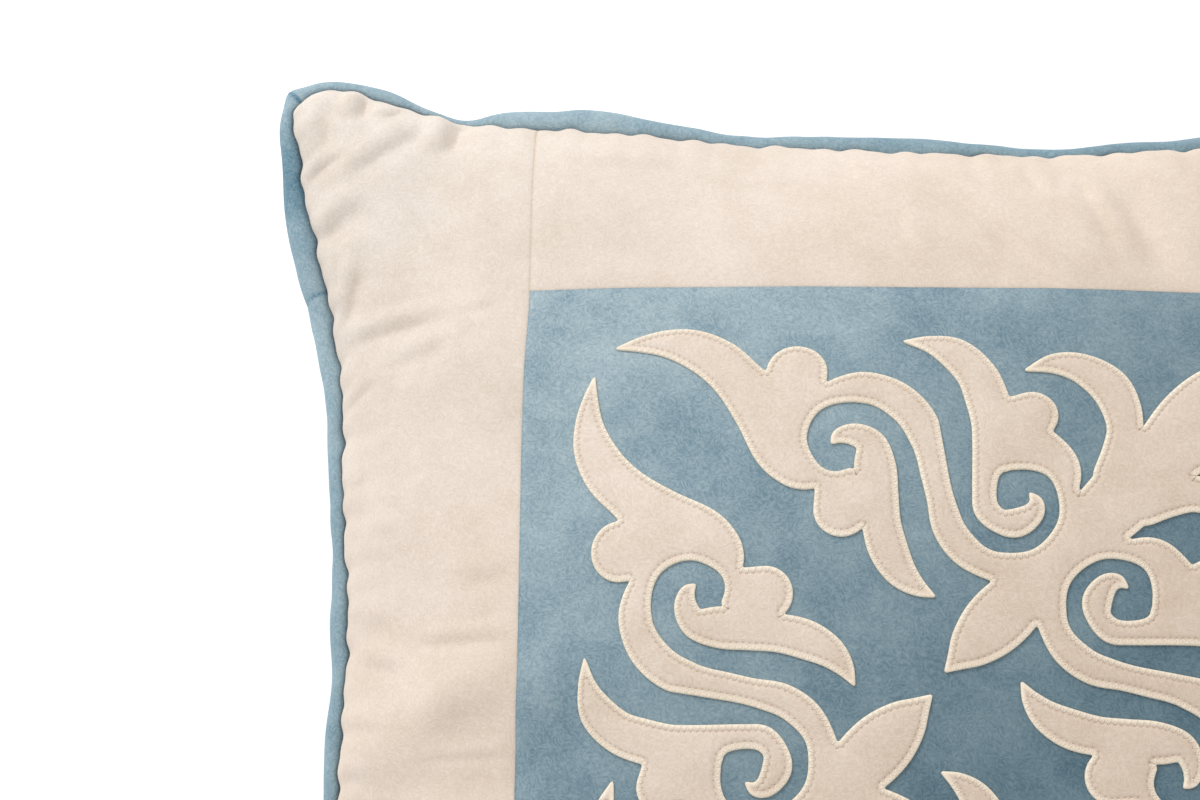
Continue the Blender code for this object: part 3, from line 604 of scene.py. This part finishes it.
HOLLOW_STROKES = (
    (
        (-10.5, 83.5, 4), (-14.8, 92.3, 3.8), (-21.5, 97.8, 4), (-28.8, 99.4, 4.3), (-36.5, 96.5, 5.3),
        (-40, 89.5, 4.9), (-35.8, 83, 6.3), (-32.6, 82.8, 6.1),
    ),
    (
        (8, 98.5, 5.8), (9.4, 84, 5), (10.2, 71, 3.7), (11.8, 62.5, 2.9), (14.3, 56.6, 2.9), (20, 50.5, 3),
        (26, 49.2, 3.1), (33, 50, 3), (38, 54, 3), (41.4, 60, 3), (41.2, 66.5, 3.3), (38.5, 71.5, 4.2),
        (34, 72.2, 5.2), (29.5, 70.5, 6.8),
    ),
)
INNER_STROKES = (
    (
        (-35.8, 87.3, 0.6), (-32.8, 90.2, 2.9), (-27.3, 90.5, 4.4), (-21.6, 86.7, 5.4), (-20.4, 77.5, 7.5),
        (-19, 67, 6.8), (-18.3, 56.5, 6.9), (-16, 47, 7), (-11.8, 38.8, 5.6), (-6.2, 33.4, 3.3),
        (0, 30, 0.5),
    ),
    (
        (-9.5, 129.6, 0.5), (0.5, 128.3, 3.8), (9.3, 124.2, 6.8), (16.6, 115.5, 7.6), (20, 106, 8),
        (22, 96, 7.9), (22.5, 86, 8.2), (19.3, 77.5, 5.2), (18.2, 69, 4.3), (18.9, 62, 4.6),
        (23.5, 57.7, 4.5), (29.3, 57.2, 5.3), (35, 60.6, 4), (36.6, 64.8, 2.5), (34.5, 68.2, 0.6),
    ),
    (
        (82, 82, 11), (89, 89, 13.8), (98, 98, 15.6), (106.5, 106.5, 14.6), (115, 115, 10.3),
        (123, 123, 5.2), (130, 130, 0.6),
    ),
    ((3.5, 3.5, 0.5), (9, 9, 4.6), (14, 14, 8.4), (19.5, 19.5, 10.9), (24.5, 24.5, 11.4), (30, 30, 10.5)),
)
# Where each ornament's own centre lies on the panel, x and y in millimetres
UPPER_PLACE, LOWER_PLACE = (-1, 1), (1, -0.5)
STROKE_STEP, FIELD_CELL, FIELD_REACH = 0.5, 0.5, 146.0
STITCH_PITCH, STITCH_IN = 2.34, 2.35
# Lines of points inside the cut edge: distance in from it, in millimetres, and points to a stitch
EDGE_ROWS = (
    (0.28, 4), (0.6, 4), (1.0, 4), (1.45, 4), (1.85, 5), (2.1, 8), (2.35, 8), (2.6, 8), (2.95, 5), (3.5, 3),
    (4.3, 2),
)
EDGE_STEP, INSIDE_STEP, UNDER_STEP = STITCH_PITCH / 5, 1.7, 6.0
BLOCK = 1500


def stroke_discs(rows):
    """Discs closely spaced along a Catmull-Rom curve through the rows of a stroke."""
    rows = np.array(rows, float)
    ends = np.concatenate([[2 * rows[0] - rows[1]], rows, [2 * rows[-1] - rows[-2]]])
    discs = []
    for p0, p1, p2, p3 in zip(ends, ends[1:], ends[2:], ends[3:]):
        count = max(2, int(np.hypot(*(p2 - p1)[:2]) / STROKE_STEP))
        t = (np.arange(count) / count)[:, None]
        discs.append(0.5 * (2 * p1 + (p2 - p0) * t + (2 * p0 - 5 * p1 + 4 * p2 - p3) * t**2
                            + (3 * p1 - p0 - 3 * p2 + p3) * t**3))
    discs = np.concatenate(discs + [rows[-1:]])
    discs[:, 2] = np.maximum(discs[:, 2], 0.4)
    return discs


# The grid lies a hair off the strokes' round numbers, so that no field value is exactly nothing
field_axis = np.arange(-FIELD_REACH, FIELD_REACH, FIELD_CELL) + 0.013


def stroke_field(strokes):
    """Distance to the nearest disc edge on the square grid of field_axis, negative inside, worked out near
    each disc."""
    field = np.full((len(field_axis), len(field_axis)), 9.0)
    for rows in strokes:
        for cx, cy, r in stroke_discs(rows):
            i0, i1 = np.searchsorted(field_axis, (cx - r - 4, cx + r + 4))
            j0, j1 = np.searchsorted(field_axis, (cy - r - 4, cy + r + 4))
            away = np.hypot(field_axis[i0:i1, None] - cx, field_axis[None, j0:j1] - cy) - r
            np.minimum(field[i0:i1, j0:j1], away, out=field[i0:i1, j0:j1])
    return field


def level_loop(field, level):
    """Closed lines where the field equals the level: the crossings of the grid's edges, linked cell by
    cell."""
    inside = field < level
    mixed = inside[:-1, :-1].astype(int) + inside[1:, :-1] + inside[1:, 1:] + inside[:-1, 1:]
    corners = ((0, 0), (1, 0), (1, 1), (0, 1))
    links = {}
    for i, j in zip(*np.nonzero((mixed > 0) & (mixed < 4))):
        crossings = []
        for (ai, aj), (bi, bj) in zip(corners, corners[1:] + corners[:1]):
            a, b = (i + ai, j + aj), (i + bi, j + bj)
            if inside[a] != inside[b]:
                crossings.append((min(a, b), max(a, b), inside[a]))
        for start, end in zip(crossings[0::2], crossings[1::2]):
            if not start[2]:
                start, end = end, start
            links[start[:2]] = end[:2]
    loops = []
    while links:
        first, at = next(iter(links.items()))
        del links[first]
        loop = [first]
        while at != first:
            loop.append(at)
            at = links.pop(at)
        ends = np.array(loop)
        a, b = ends[:, 0], ends[:, 1]
        fa, fb = field[a[:, 0], a[:, 1]] - level, field[b[:, 0], b[:, 1]] - level
        share = (fa / (fa - fb))[:, None]
        loops.append(field_axis[a] * (1 - share) + field_axis[b] * share)
    return loops


def even(loop, step, times=1):
    """The closed loop again, as points evenly spaced: as many as fit at the step, a whole number of times
    over."""
    closed = np.concatenate([loop, loop[:1]])
    length = np.concatenate([[0], np.cumsum(np.hypot(*np.diff(closed, axis=0).T))])
    count = max(8, round(length[-1] / step)) * times
    at = np.arange(count) * length[-1] / count
    return np.stack([np.interp(at, length, closed[:, k]) for k in (0, 1)], axis=-1)


def smooth(loop, times):
    """The closed loop with each point moved towards its neighbours' middle, a few times."""
    for _ in range(times):
        loop = 0.5 * loop + 0.25 * (np.roll(loop, 1, 0) + np.roll(loop, -1, 0))
    return loop


def nearest(points, others):
    """Distance from each point to the nearest of the others, and its number, in blocks."""
    away, which = np.empty(len(points)), np.empty(len(points), int)
    for start in range(0, len(points), BLOCK):
        some = slice(start, start + BLOCK)
        square = ((points[some, None, :] - others[None, :, :]) ** 2).sum(-1)
        which[some] = square.argmin(1)
        away[some] = np.sqrt(square.min(1))
    return away, which


solid_field, hollow_field, inner_field = (
    np.minimum(field, field.T) for field in map(stroke_field, (SOLID_STROKES, HOLLOW_STROKES, INNER_STROKES))
)
ornament_field = np.minimum(np.maximum(solid_field, -hollow_field), inner_field)
cut_line = max(level_loop(ornament_field, 0.0), key=len)
cut_dense = even(cut_line, 0.3)


def depth_field():
    """Distance in from the cut line on the grid: negative inside the ornament, nothing far outside it."""
    i, j = np.nonzero(ornament_field < 0.6)
    away, _ = nearest(np.stack([field_axis[i], field_axis[j]], -1), cut_dense)
    depth = np.full(ornament_field.shape, 9.0)
    depth[i, j] = np.where(ornament_field[i, j] < 0, -away, away)
    return depth


depth_grid = depth_field()
outline = smooth(even(cut_line, EDGE_STEP), 2)
stitch_loops = [loop for loop in level_loop(depth_grid, -STITCH_IN) if len(loop) > 30]
stitch_lines = [even(loop, STITCH_PITCH) for loop in stitch_loops]
stitch_holes = np.concatenate(stitch_lines)
stitch_next = np.concatenate([np.roll(line, -1, 0) for line in stitch_lines])


def ornament_points():
    """Flat points of the ornament: its outline, the evenly spaced lines of EDGE_ROWS inside it, and a grid
    further in."""
    rows = [outline]
    for depth, share in EDGE_ROWS:
        loops = [loop for loop in level_loop(depth_grid, -depth) if len(loop) > 12]
        rows += [even(loop, STITCH_PITCH, share) for loop in loops]
    step = max(1, round(INSIDE_STEP / FIELD_CELL))
    i, j = np.nonzero(depth_grid[::step, ::step] < -EDGE_ROWS[-1][0] - 0.8)
    rows.append(np.stack([field_axis[i * step], field_axis[j * step]], -1))
    return np.concatenate(rows)


def triangles(points, loop_length):
    """Triangles over flat points inside the closed loop that the first loop_length points make."""
    coords = [Vector((float(x), float(y))) for x, y in points]
    out = delaunay_2d_cdt(coords, [], [list(range(loop_length))], 1, 1e-6)
    flat, tris = np.array([tuple(v) for v in out[0]]), np.array(out[2], dtype=int)
    a, b, c = flat[tris[:, 0]], flat[tris[:, 1]], flat[tris[:, 2]]
    area = (b[:, 0] - a[:, 0]) * (c[:, 1] - a[:, 1]) - (b[:, 1] - a[:, 1]) * (c[:, 0] - a[:, 0])
    return flat, np.where((area < 0)[:, None], tris[:, ::-1], tris)[np.abs(area) > 1e-9]


def border_edges(tris):
    """Edges that only one triangle has, in that triangle's direction."""
    ends = np.concatenate([tris[:, [0, 1]], tris[:, [1, 2]], tris[:, [2, 0]]])
    key, turned = ends[:, 0] * (tris.max() + 1) + ends[:, 1], ends[:, 1] * (tris.max() + 1) + ends[:, 0]
    return ends[~np.isin(key, turned)]


# Height of an ornament's face, in millimetres: at the cut, the rim's puff over it and how far in that is
# full; depth and width of the trough; height, start, reach and power of the rise further in
RIM_BASE, RIM_PUFF, RIM_ROUND = 0.75, 0.6, 1.1
TROUGH_DEPTH, TROUGH_WIDTH = 0.32, 0.6
RISE, RISE_FROM, RISE_REACH, RISE_POWER = 0.45, 2.6, 6, 0.7


def pile_height(depth):
    """Height of the ornament's face over the panel, in millimetres, by distance in from the cut: a round
    puffed rim, a trough along the stitch line and a slow rise further in."""
    rim = RIM_BASE + RIM_PUFF * np.sqrt(np.clip(1 - (1 - np.clip(depth / RIM_ROUND, 0, 1)) ** 2, 0, 1))
    trough = TROUGH_DEPTH * bell(depth - STITCH_IN, TROUGH_WIDTH)
    rise = RISE * np.clip((depth - RISE_FROM) / RISE_REACH, 0, 1) ** RISE_POWER
    return rim - trough + rise


# Where the needle went in: radius and depth of the dent in millimetres, and how dark the hole is painted, as
# painted shade
HOLE_REACH, HOLE_DEPTH, HOLE_SHADE = 0.34, 0.4, 0.55

# Its cut edge colour is the raw edge's warm tone, lightened as painted light on the rim's shaded slope
cream_applique = velvet("cream cotton velvet with a cut edge", CREAM_PAINTED_LIGHT_TONES, 0.07, CREAM_TINT, 0.12, 15,
                        lit_cut_edge="FFF1DC")
flat_face, face_tris = triangles(ornament_points(), len(outline))
face_depth, _ = nearest(flat_face, cut_dense)
rim_edges = border_edges(face_tris)
face_depth[np.unique(rim_edges)] = 0
hole_away, _ = nearest(flat_face, stitch_holes)
hole = bell(hole_away, HOLE_REACH)
# 1 where the outline runs the way round that its triangles turn, -1 where it runs the other way
ring_turn = 1 if (rim_edges[:, 1] == rim_edges[:, 0] + 1).sum() > len(rim_edges) / 2 else -1
PANEL_TOP, UNDERSIDE = GAP + CLOTH, 0.12 * MM
face_height = PANEL_TOP + (pile_height(face_depth) - HOLE_DEPTH * hole) * MM
grid = np.arange(-FIELD_REACH, FIELD_REACH, UNDER_STEP)
under_x, under_y = (g.ravel() for g in np.meshgrid(grid, grid))
cell = np.round((np.stack([under_x, under_y]) - field_axis[0]) / FIELD_CELL).astype(int)
deep = depth_grid[tuple(np.clip(cell, 0, len(field_axis) - 1))] < -UNDER_STEP / 2
flat_under, under_tris = triangles(
    np.concatenate([flat_face[: len(outline)], np.stack([under_x, under_y], -1)[deep]]), len(outline)
)


def laid(flat, flip):
    """Flat points of one ornament where it lies on the panel; flip mirrors it over the other diagonal
    first."""
    return -flat[:, ::-1] + LOWER_PLACE if flip else flat + UPPER_PLACE


def ornament(name, flip):
    """The face, its underside just off the panel, and a wall from the one cut edge down to the other."""
    turn = -1 if flip else 1
    over, under = laid(flat_face, flip) * MM, laid(flat_under, flip) * MM
    count = len(over)
    under_height = np.full(len(under), PANEL_TOP + UNDERSIDE)
    points = np.concatenate([raised(*over.T, face_height), raised(*under.T, under_height)])
    ring = np.arange(len(outline))
    wall = np.stack([np.roll(ring, -1), ring, ring + count, np.roll(ring, -1) + count], axis=-1)
    faces = [*face_tris[:, ::turn], *(under_tris[:, ::-turn] + count), *wall[:, :: ring_turn * turn]]
    obj = piece(name, points, faces, cream_applique)
    # The needle holes get painted shade through the shade attribute
    for label, over_value in (("edge", face_depth), ("painted_shade", HOLE_SHADE * hole)):
        store(obj, label, np.concatenate([over_value, np.zeros(len(under))]))
    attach(obj, "root")
    return obj


# Stitches of the ornaments. Cream polyester thread in a machine zigzag: every 2.3 mm it comes up through
# the cloth, crosses the rim to the panel just outside the cut edge, and crosses back to the next hole.

# Half the thread's width, in millimetres, and the sides of its tube
THREAD, THREAD_SIDES = 0.17, 5
# Down a thread from its hole to the cut edge: share of the way, and height over the cloth there, in
# millimetres
THREAD_RUN = (
    (0.0, -0.45), (0.1, -0.05), (0.3, 0.05), (0.55, 0.08), (0.8, 0.06), (0.95, -0.1), (1.03, -0.75),
)


def thread_material():
    """Spun polyester thread: fine ply marks and a slight gloss."""
    material, tree, shader, place = new_material("cream polyester thread")
    ply = add(tree, "TexNoise", {"Vector": place, "Scale": per_metre(0.5), "Detail": 1.0})
    ramp = add(tree, "ValToRGB", {"Fac": ply})
    shades = ramp.color_ramp.elements
    shades[0].color, shades[1].color = linear("F0E4D2"), linear("FBF4E8")
    feed(tree, shader, {"Base Color": ramp, "Roughness": 0.62, "Sheen Weight": 0.2})
    return material


def crossing_threads(flip):
    """Start and end of every thread: from each hole to the cut edge beside the middle of its stitch, and
    from there to the next hole."""
    middle = (stitch_holes + stitch_next) / 2
    _, which = nearest(middle, cut_dense)
    edge = cut_dense[which]
    near = np.hypot(*(edge - middle).T) < 1.5 * STITCH_IN
    near &= np.hypot(*(stitch_next - stitch_holes).T) < 1.5 * STITCH_PITCH
    start = np.concatenate([stitch_holes[near], stitch_next[near]])
    return laid(start, flip), laid(np.concatenate([edge[near]] * 2), flip)


def stitches(name, flip):
    """Every thread as a short tube over THREAD_RUN, from hole to cut edge, on top of the rim's own height
    there."""
    start, end = crossing_threads(flip)
    run = end - start
    side = np.stack([-run[:, 1], run[:, 0]], -1) / np.hypot(*run.T)[:, None]
    share, lift = np.array(THREAD_RUN).T
    turn = np.arange(THREAD_SIDES) * 2 * math.pi / THREAD_SIDES
    middle = start[:, None, :] + run[:, None, :] * share[None, :, None]
    flat = middle[:, :, None, :] + side[:, None, None, :] * (THREAD * np.cos(turn))[None, None, :, None]
    up = pile_height(STITCH_IN * np.clip(1 - share, 0, 1)) + lift
    height = PANEL_TOP + np.broadcast_to(up[None, :, None] + THREAD * np.sin(turn), flat.shape[:3]) * MM
    points = raised(flat[..., 0] * MM, flat[..., 1] * MM, height)
    ring = np.arange(THREAD_SIDES)
    step = np.stack([ring, np.roll(ring, -1), np.roll(ring, -1) + THREAD_SIDES, ring + THREAD_SIDES], -1)
    one = np.concatenate([step + k * THREAD_SIDES for k in range(len(share) - 1)])
    caps = np.stack([ring[::-1], (len(share) - 1) * THREAD_SIDES + ring])
    offsets = np.arange(len(start))[:, None, None] * len(share) * THREAD_SIDES
    walls, ends = one[None, :, ::-1] + offsets, caps[None, :, ::-1] + offsets
    faces = [*walls.reshape(-1, 4), *ends.reshape(-1, THREAD_SIDES)]
    obj = piece(name, points, faces, thread_cream)
    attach(obj, "root")
    return obj


thread_cream = thread_material()
corner_a, corner_b, corner_c = (flat_face[face_tris[:, k]] for k in range(3))
applique_area = float(np.abs(np.cross(corner_b - corner_a, corner_c - corner_a)).sum() / 2) * MM**2
# Flat size from which the ornament is cut, across and along the diagonal, of which it fills at least
# CUT_SHARE; the thin tips at its ends reach a few millimetres past this rectangle
CUT_SHARE = 0.305
diagonal = flat_face @ np.array([[1, 1], [-1, 1]]) / math.sqrt(2)
cut_height, cut_width = (float(reach) for reach in np.ptp(diagonal, axis=0) * MM)
cut_width = min(cut_width, applique_area / CUT_SHARE / cut_height)
for side, flip in (("upper", False), ("lower", True)):
    applique = ornament(f"ornament_{side}_velvet", flip)
    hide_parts(f"ornament_{side}")
    sewing = stitches(f"ornament_{side}_stitches", flip)


# Piping. A bias strip of the blue velvet sewn round a soft cord, caught in the seam all round the rim. It
# is folded into a mitre at each corner, and its ends are joined by a slanting seam on the left side.

PIPING_OUT, PIPING_UP, SWELL_POWER = 3.2 * MM, 6.4 * MM, 40
# Where the piping is wider or slimmer: place along each side, reach, half width added, in millimetres
PIPING_SWELLS = {
    "top": ((-240, 16, 0.4), (-208, 16, 1.1), (-184, 12, -1.8), (-138, 30, 1.6), (62, 30, -1.2)),
    "left": ((238, 18, 0.9), (172, 50, 2), (92, 26, -0.6)),
    "right": ((60, 70, 0.8), (-150, 40, -0.7)),
    "bottom": ((-80, 60, 0.8), (120, 40, -0.8)),
}
PIPING_SIDES, PIPING_STEP = 22, 1.6 * MM
JOIN_AT, JOIN_SLANT = 166 * MM, 2.2 * MM
MITRE_REACH, CORNER_TIP, TIP_REACH = 12 * MM, 0.8 * MM, 3.5 * MM
# Grooves: half width and depth of the fold at each mitre, and of the join
FOLD_WIDTH, FOLD_DEPTH, JOIN_WIDTH, JOIN_DEPTH = 0.55 * MM, 0.6 * MM, 0.8 * MM, 0.4 * MM
# Wrinkles: how many waves, their lengths in millimetres, height as a share of the length
WRINKLES, WRINKLE_SEED, WRINKLE_LENGTHS, WRINKLE_HEIGHT = 12, 31, (16, 60), 0.0026
# On the left side near the upper corner the piping is painted darker, as painted shade where it tucks under
# the cream: place, reach and how dark
LEFT_SHADE_AT, LEFT_SHADE_REACH, LEFT_PAINTED_SHADE = 216 * MM, 32 * MM, 0.6

# Its three tones run from lit at the upper left to shaded at the lower right: painted light and sheen
piping_velvet = velvet("blue cotton velvet piping", ("9FB6C1", "8BA6B3", "66808D"), 0.13, BLUE_TINT, 0.3, 21)


def piping_width(x, y):
    """Half width of the piping at a point of the rim: its usual width, bell-shaped swells of that side, and
    half of the distance by which the seam lies further in."""
    in_x, in_y = seam_shift(x, y, SWELL_POWER)
    wide = PIPING_OUT - 0.5 * (np.sign(x) * in_x + np.sign(y) * in_y)
    for _, _, bump, (wider,) in side_bells(PIPING_SWELLS, x, y, SWELL_POWER):
        wide += wider * MM * bump
    return wide


def piping_points():
    """An oval carried round the rim, its width divided by the cosine of the corner's turn; noise-like waves
    wrinkle it and narrow grooves mark the mitres and the join. Also gives the painted shade of those grooves
    and of the left side near its upper corner."""
    side = np.linspace(-COVER_HALF, COVER_HALF, round(2 * COVER_HALF / PIPING_STEP))
    near = np.array((0.25, 0.5, 0.8, 1.1, 1.6, 2.2, 2.9, 3.6)) * MM
    side = np.unique(np.concatenate([side, -COVER_HALF + near, COVER_HALF - near]))[:-1]
    x = np.concatenate([side, np.full(len(side), COVER_HALF), -side, np.full(len(side), -COVER_HALF)])
    y = np.concatenate([np.full(len(side), -COVER_HALF), side, np.full(len(side), COVER_HALF), -side])
    px, py, seam = plan(x, y)
    in_x, in_y = seam_shift(x, y, SWELL_POWER)
    line = np.stack([px - in_x, py - in_y], -1)
    run = np.roll(line, -1, 0) - np.roll(line, 1, 0)
    run /= np.linalg.norm(run, axis=1, keepdims=True)
    run = smooth(run, 3)
    run /= np.linalg.norm(run, axis=1, keepdims=True)
    out = np.stack([run[:, 1], -run[:, 0]], -1)
    square = np.where(np.abs(x) >= np.abs(y), 1, 0)
    face = np.stack([np.sign(x) * square, np.sign(y) * (1 - square)], -1)
    corner = np.clip((out * face).sum(1), math.cos(math.radians(45)), 1)
    from_corner = COVER_HALF - np.minimum(np.abs(x), np.abs(y))
    mitre = np.where(from_corner < MITRE_REACH, 1 / corner, 1.0)
    along = np.concatenate([[0], np.cumsum(np.hypot(*np.diff(line, axis=0).T))])
    angle = 2 * math.pi * np.arange(PIPING_SIDES) / PIPING_SIDES
    draw = np.random.default_rng(WRINKLE_SEED)
    wrinkle = np.zeros((len(x), PIPING_SIDES))
    for _ in range(WRINKLES):
        wave, lean = draw.uniform(*WRINKLE_LENGTHS) * MM, draw.integers(-2, 3)
        phase = draw.uniform(0, 2 * math.pi)
        wrinkle += WRINKLE_HEIGHT * wave * np.sin(2 * math.pi * along[:, None] / wave + lean * angle + phase)
    fold = bell(from_corner, FOLD_WIDTH)
    tip = CORNER_TIP * bell(from_corner, TIP_REACH)[:, None] * (1 - np.cos(angle)) / 2
    on_left = (x < 0) & (square == 1)
    slant = bell(y[:, None] - JOIN_AT - JOIN_SLANT * np.sin(angle), JOIN_WIDTH)
    join = np.where(on_left[:, None], slant, 0)
    sink = FOLD_DEPTH * fold[:, None] + JOIN_DEPTH * join
    wide = (piping_width(x, y) * mitre)[:, None]
    reach = GAP + tip + wide * (1 - np.cos(angle)) + (wrinkle - sink) * -np.cos(angle)
    rise = (PIPING_UP + wrinkle - sink) * np.sin(angle)
    points = np.stack([px[:, None] + out[:, :1] * reach, py[:, None] + out[:, 1:] * reach,
                       seam[:, None] + rise], -1)
    # Painted shade on the left side near the upper corner
    brushed_pile_and_shade = np.where(on_left, LEFT_PAINTED_SHADE * bell(y - LEFT_SHADE_AT, LEFT_SHADE_REACH), 0)[:, None]
    # The second result is painted shade: the mitre folds, the join and the left side near its upper corner
    return points, np.clip(0.7 * fold[:, None] + 0.7 * join + brushed_pile_and_shade, 0, 1)


ring_points, ring_painted_shade = piping_points()
sections = len(ring_points)
s_index, a_index = np.arange(sections)[:, None], np.arange(PIPING_SIDES)[None, :]
a_next, s_next = (a_index + 1) % PIPING_SIDES, (s_index + 1) % sections
piping_faces = np.stack([s_index * PIPING_SIDES + a_index, s_index * PIPING_SIDES + a_next,
                         s_next * PIPING_SIDES + a_next, s_next * PIPING_SIDES + a_index], -1).reshape(-1, 4)
piping = piece("piping_velvet", ring_points, piping_faces, piping_velvet)
store(piping, "painted_shade", ring_painted_shade.ravel())
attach(piping, "root")
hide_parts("piping")


# Studio. A plain white light table under a large soft light from the upper left, with a weaker one opposite
# and a pale surround.


def stage_material():
    """White acrylic lit softly from below, matt, with a barely visible unevenness."""
    material, tree, shader, place = new_material("white lit acrylic")
    cloudy = add(tree, "TexNoise", {"Vector": place, "Scale": per_metre(300)})
    ramp = add(tree, "ValToRGB", {"Fac": cloudy})
    shades = ramp.color_ramp.elements
    shades[0].color, shades[1].color = linear("F7F7F7"), linear("FCFCFC")
    feed(tree, shader, {"Base Color": ramp, "Emission Color": ramp, "Emission Strength": 0.3,
                        "Roughness": 0.8})
    return material


TABLE_HALF = 6.0
table_corners = np.array([(-1, -1, 0), (1, -1, 0), (1, 1, 0), (-1, 1, 0)], float) * TABLE_HALF
table = piece("table", table_corners - (0, 0, 0.0002), np.array([[0, 1, 2, 3]]), stage_material())


def soft_light(name, place, aim, size, power, colour):
    """A square area light at place that faces aim."""
    light = bpy.data.lights.new(name, "AREA")
    light.shape, light.size, light.energy, light.color = "SQUARE", size, power, linear(colour)[:3]
    obj = bpy.data.objects.new(name, light)
    obj.location = place
    obj.rotation_euler = (Vector(aim) - Vector(place)).to_track_quat("-Z", "Y").to_euler()
    bpy.context.scene.collection.objects.link(obj)


soft_light("key_light", (-1.0, 1.35, 1.4), (-0.05, 0.05, 0.1), 0.8, 20.5, "FFFDFA")
soft_light("fill_light", (1.4, -0.9, 1.7), (0, 0, 0.1), 1.6, 4, "FFF4E8")
world = bpy.data.worlds.new("pale surround")
world.use_nodes = True
feed(world.node_tree, world.node_tree.nodes["Background"], {"Color": linear("FFFFFF"), "Strength": 0.62})
bpy.context.scene.world = world
bpy.context.scene.view_settings.view_transform = "Standard"

# The camera stands below the cushion's middle and looks at its upper left part, 13 degrees off straight down.
LENS_MM, SENSOR_MM = 100.0, 36.0
CAMERA_AWAY, CAMERA_RISE, CAMERA_TURN, CAMERA_ROLL = 1.253, 76.5, 6.0, -5.36
CAMERA_AIM = (-0.1253, 0.1074, 0.13)

camera_data = bpy.data.cameras.new("camera")
camera_data.lens, camera_data.sensor_width = LENS_MM, SENSOR_MM
camera_data.clip_start, camera_data.clip_end = 0.05, 30
camera = bpy.data.objects.new("camera", camera_data)
rise, turn = math.radians(CAMERA_RISE), math.radians(CAMERA_TURN)
towards = Vector((math.cos(rise) * math.sin(turn), -math.cos(rise) * math.cos(turn), math.sin(rise)))
camera.location = Vector(CAMERA_AIM) + CAMERA_AWAY * towards
camera.rotation_euler = (-towards).to_track_quat("-Z", "Y").to_euler()
camera.rotation_euler.rotate_axis("Z", math.radians(CAMERA_ROLL))
bpy.context.scene.collection.objects.link(camera)
bpy.context.scene.camera = camera
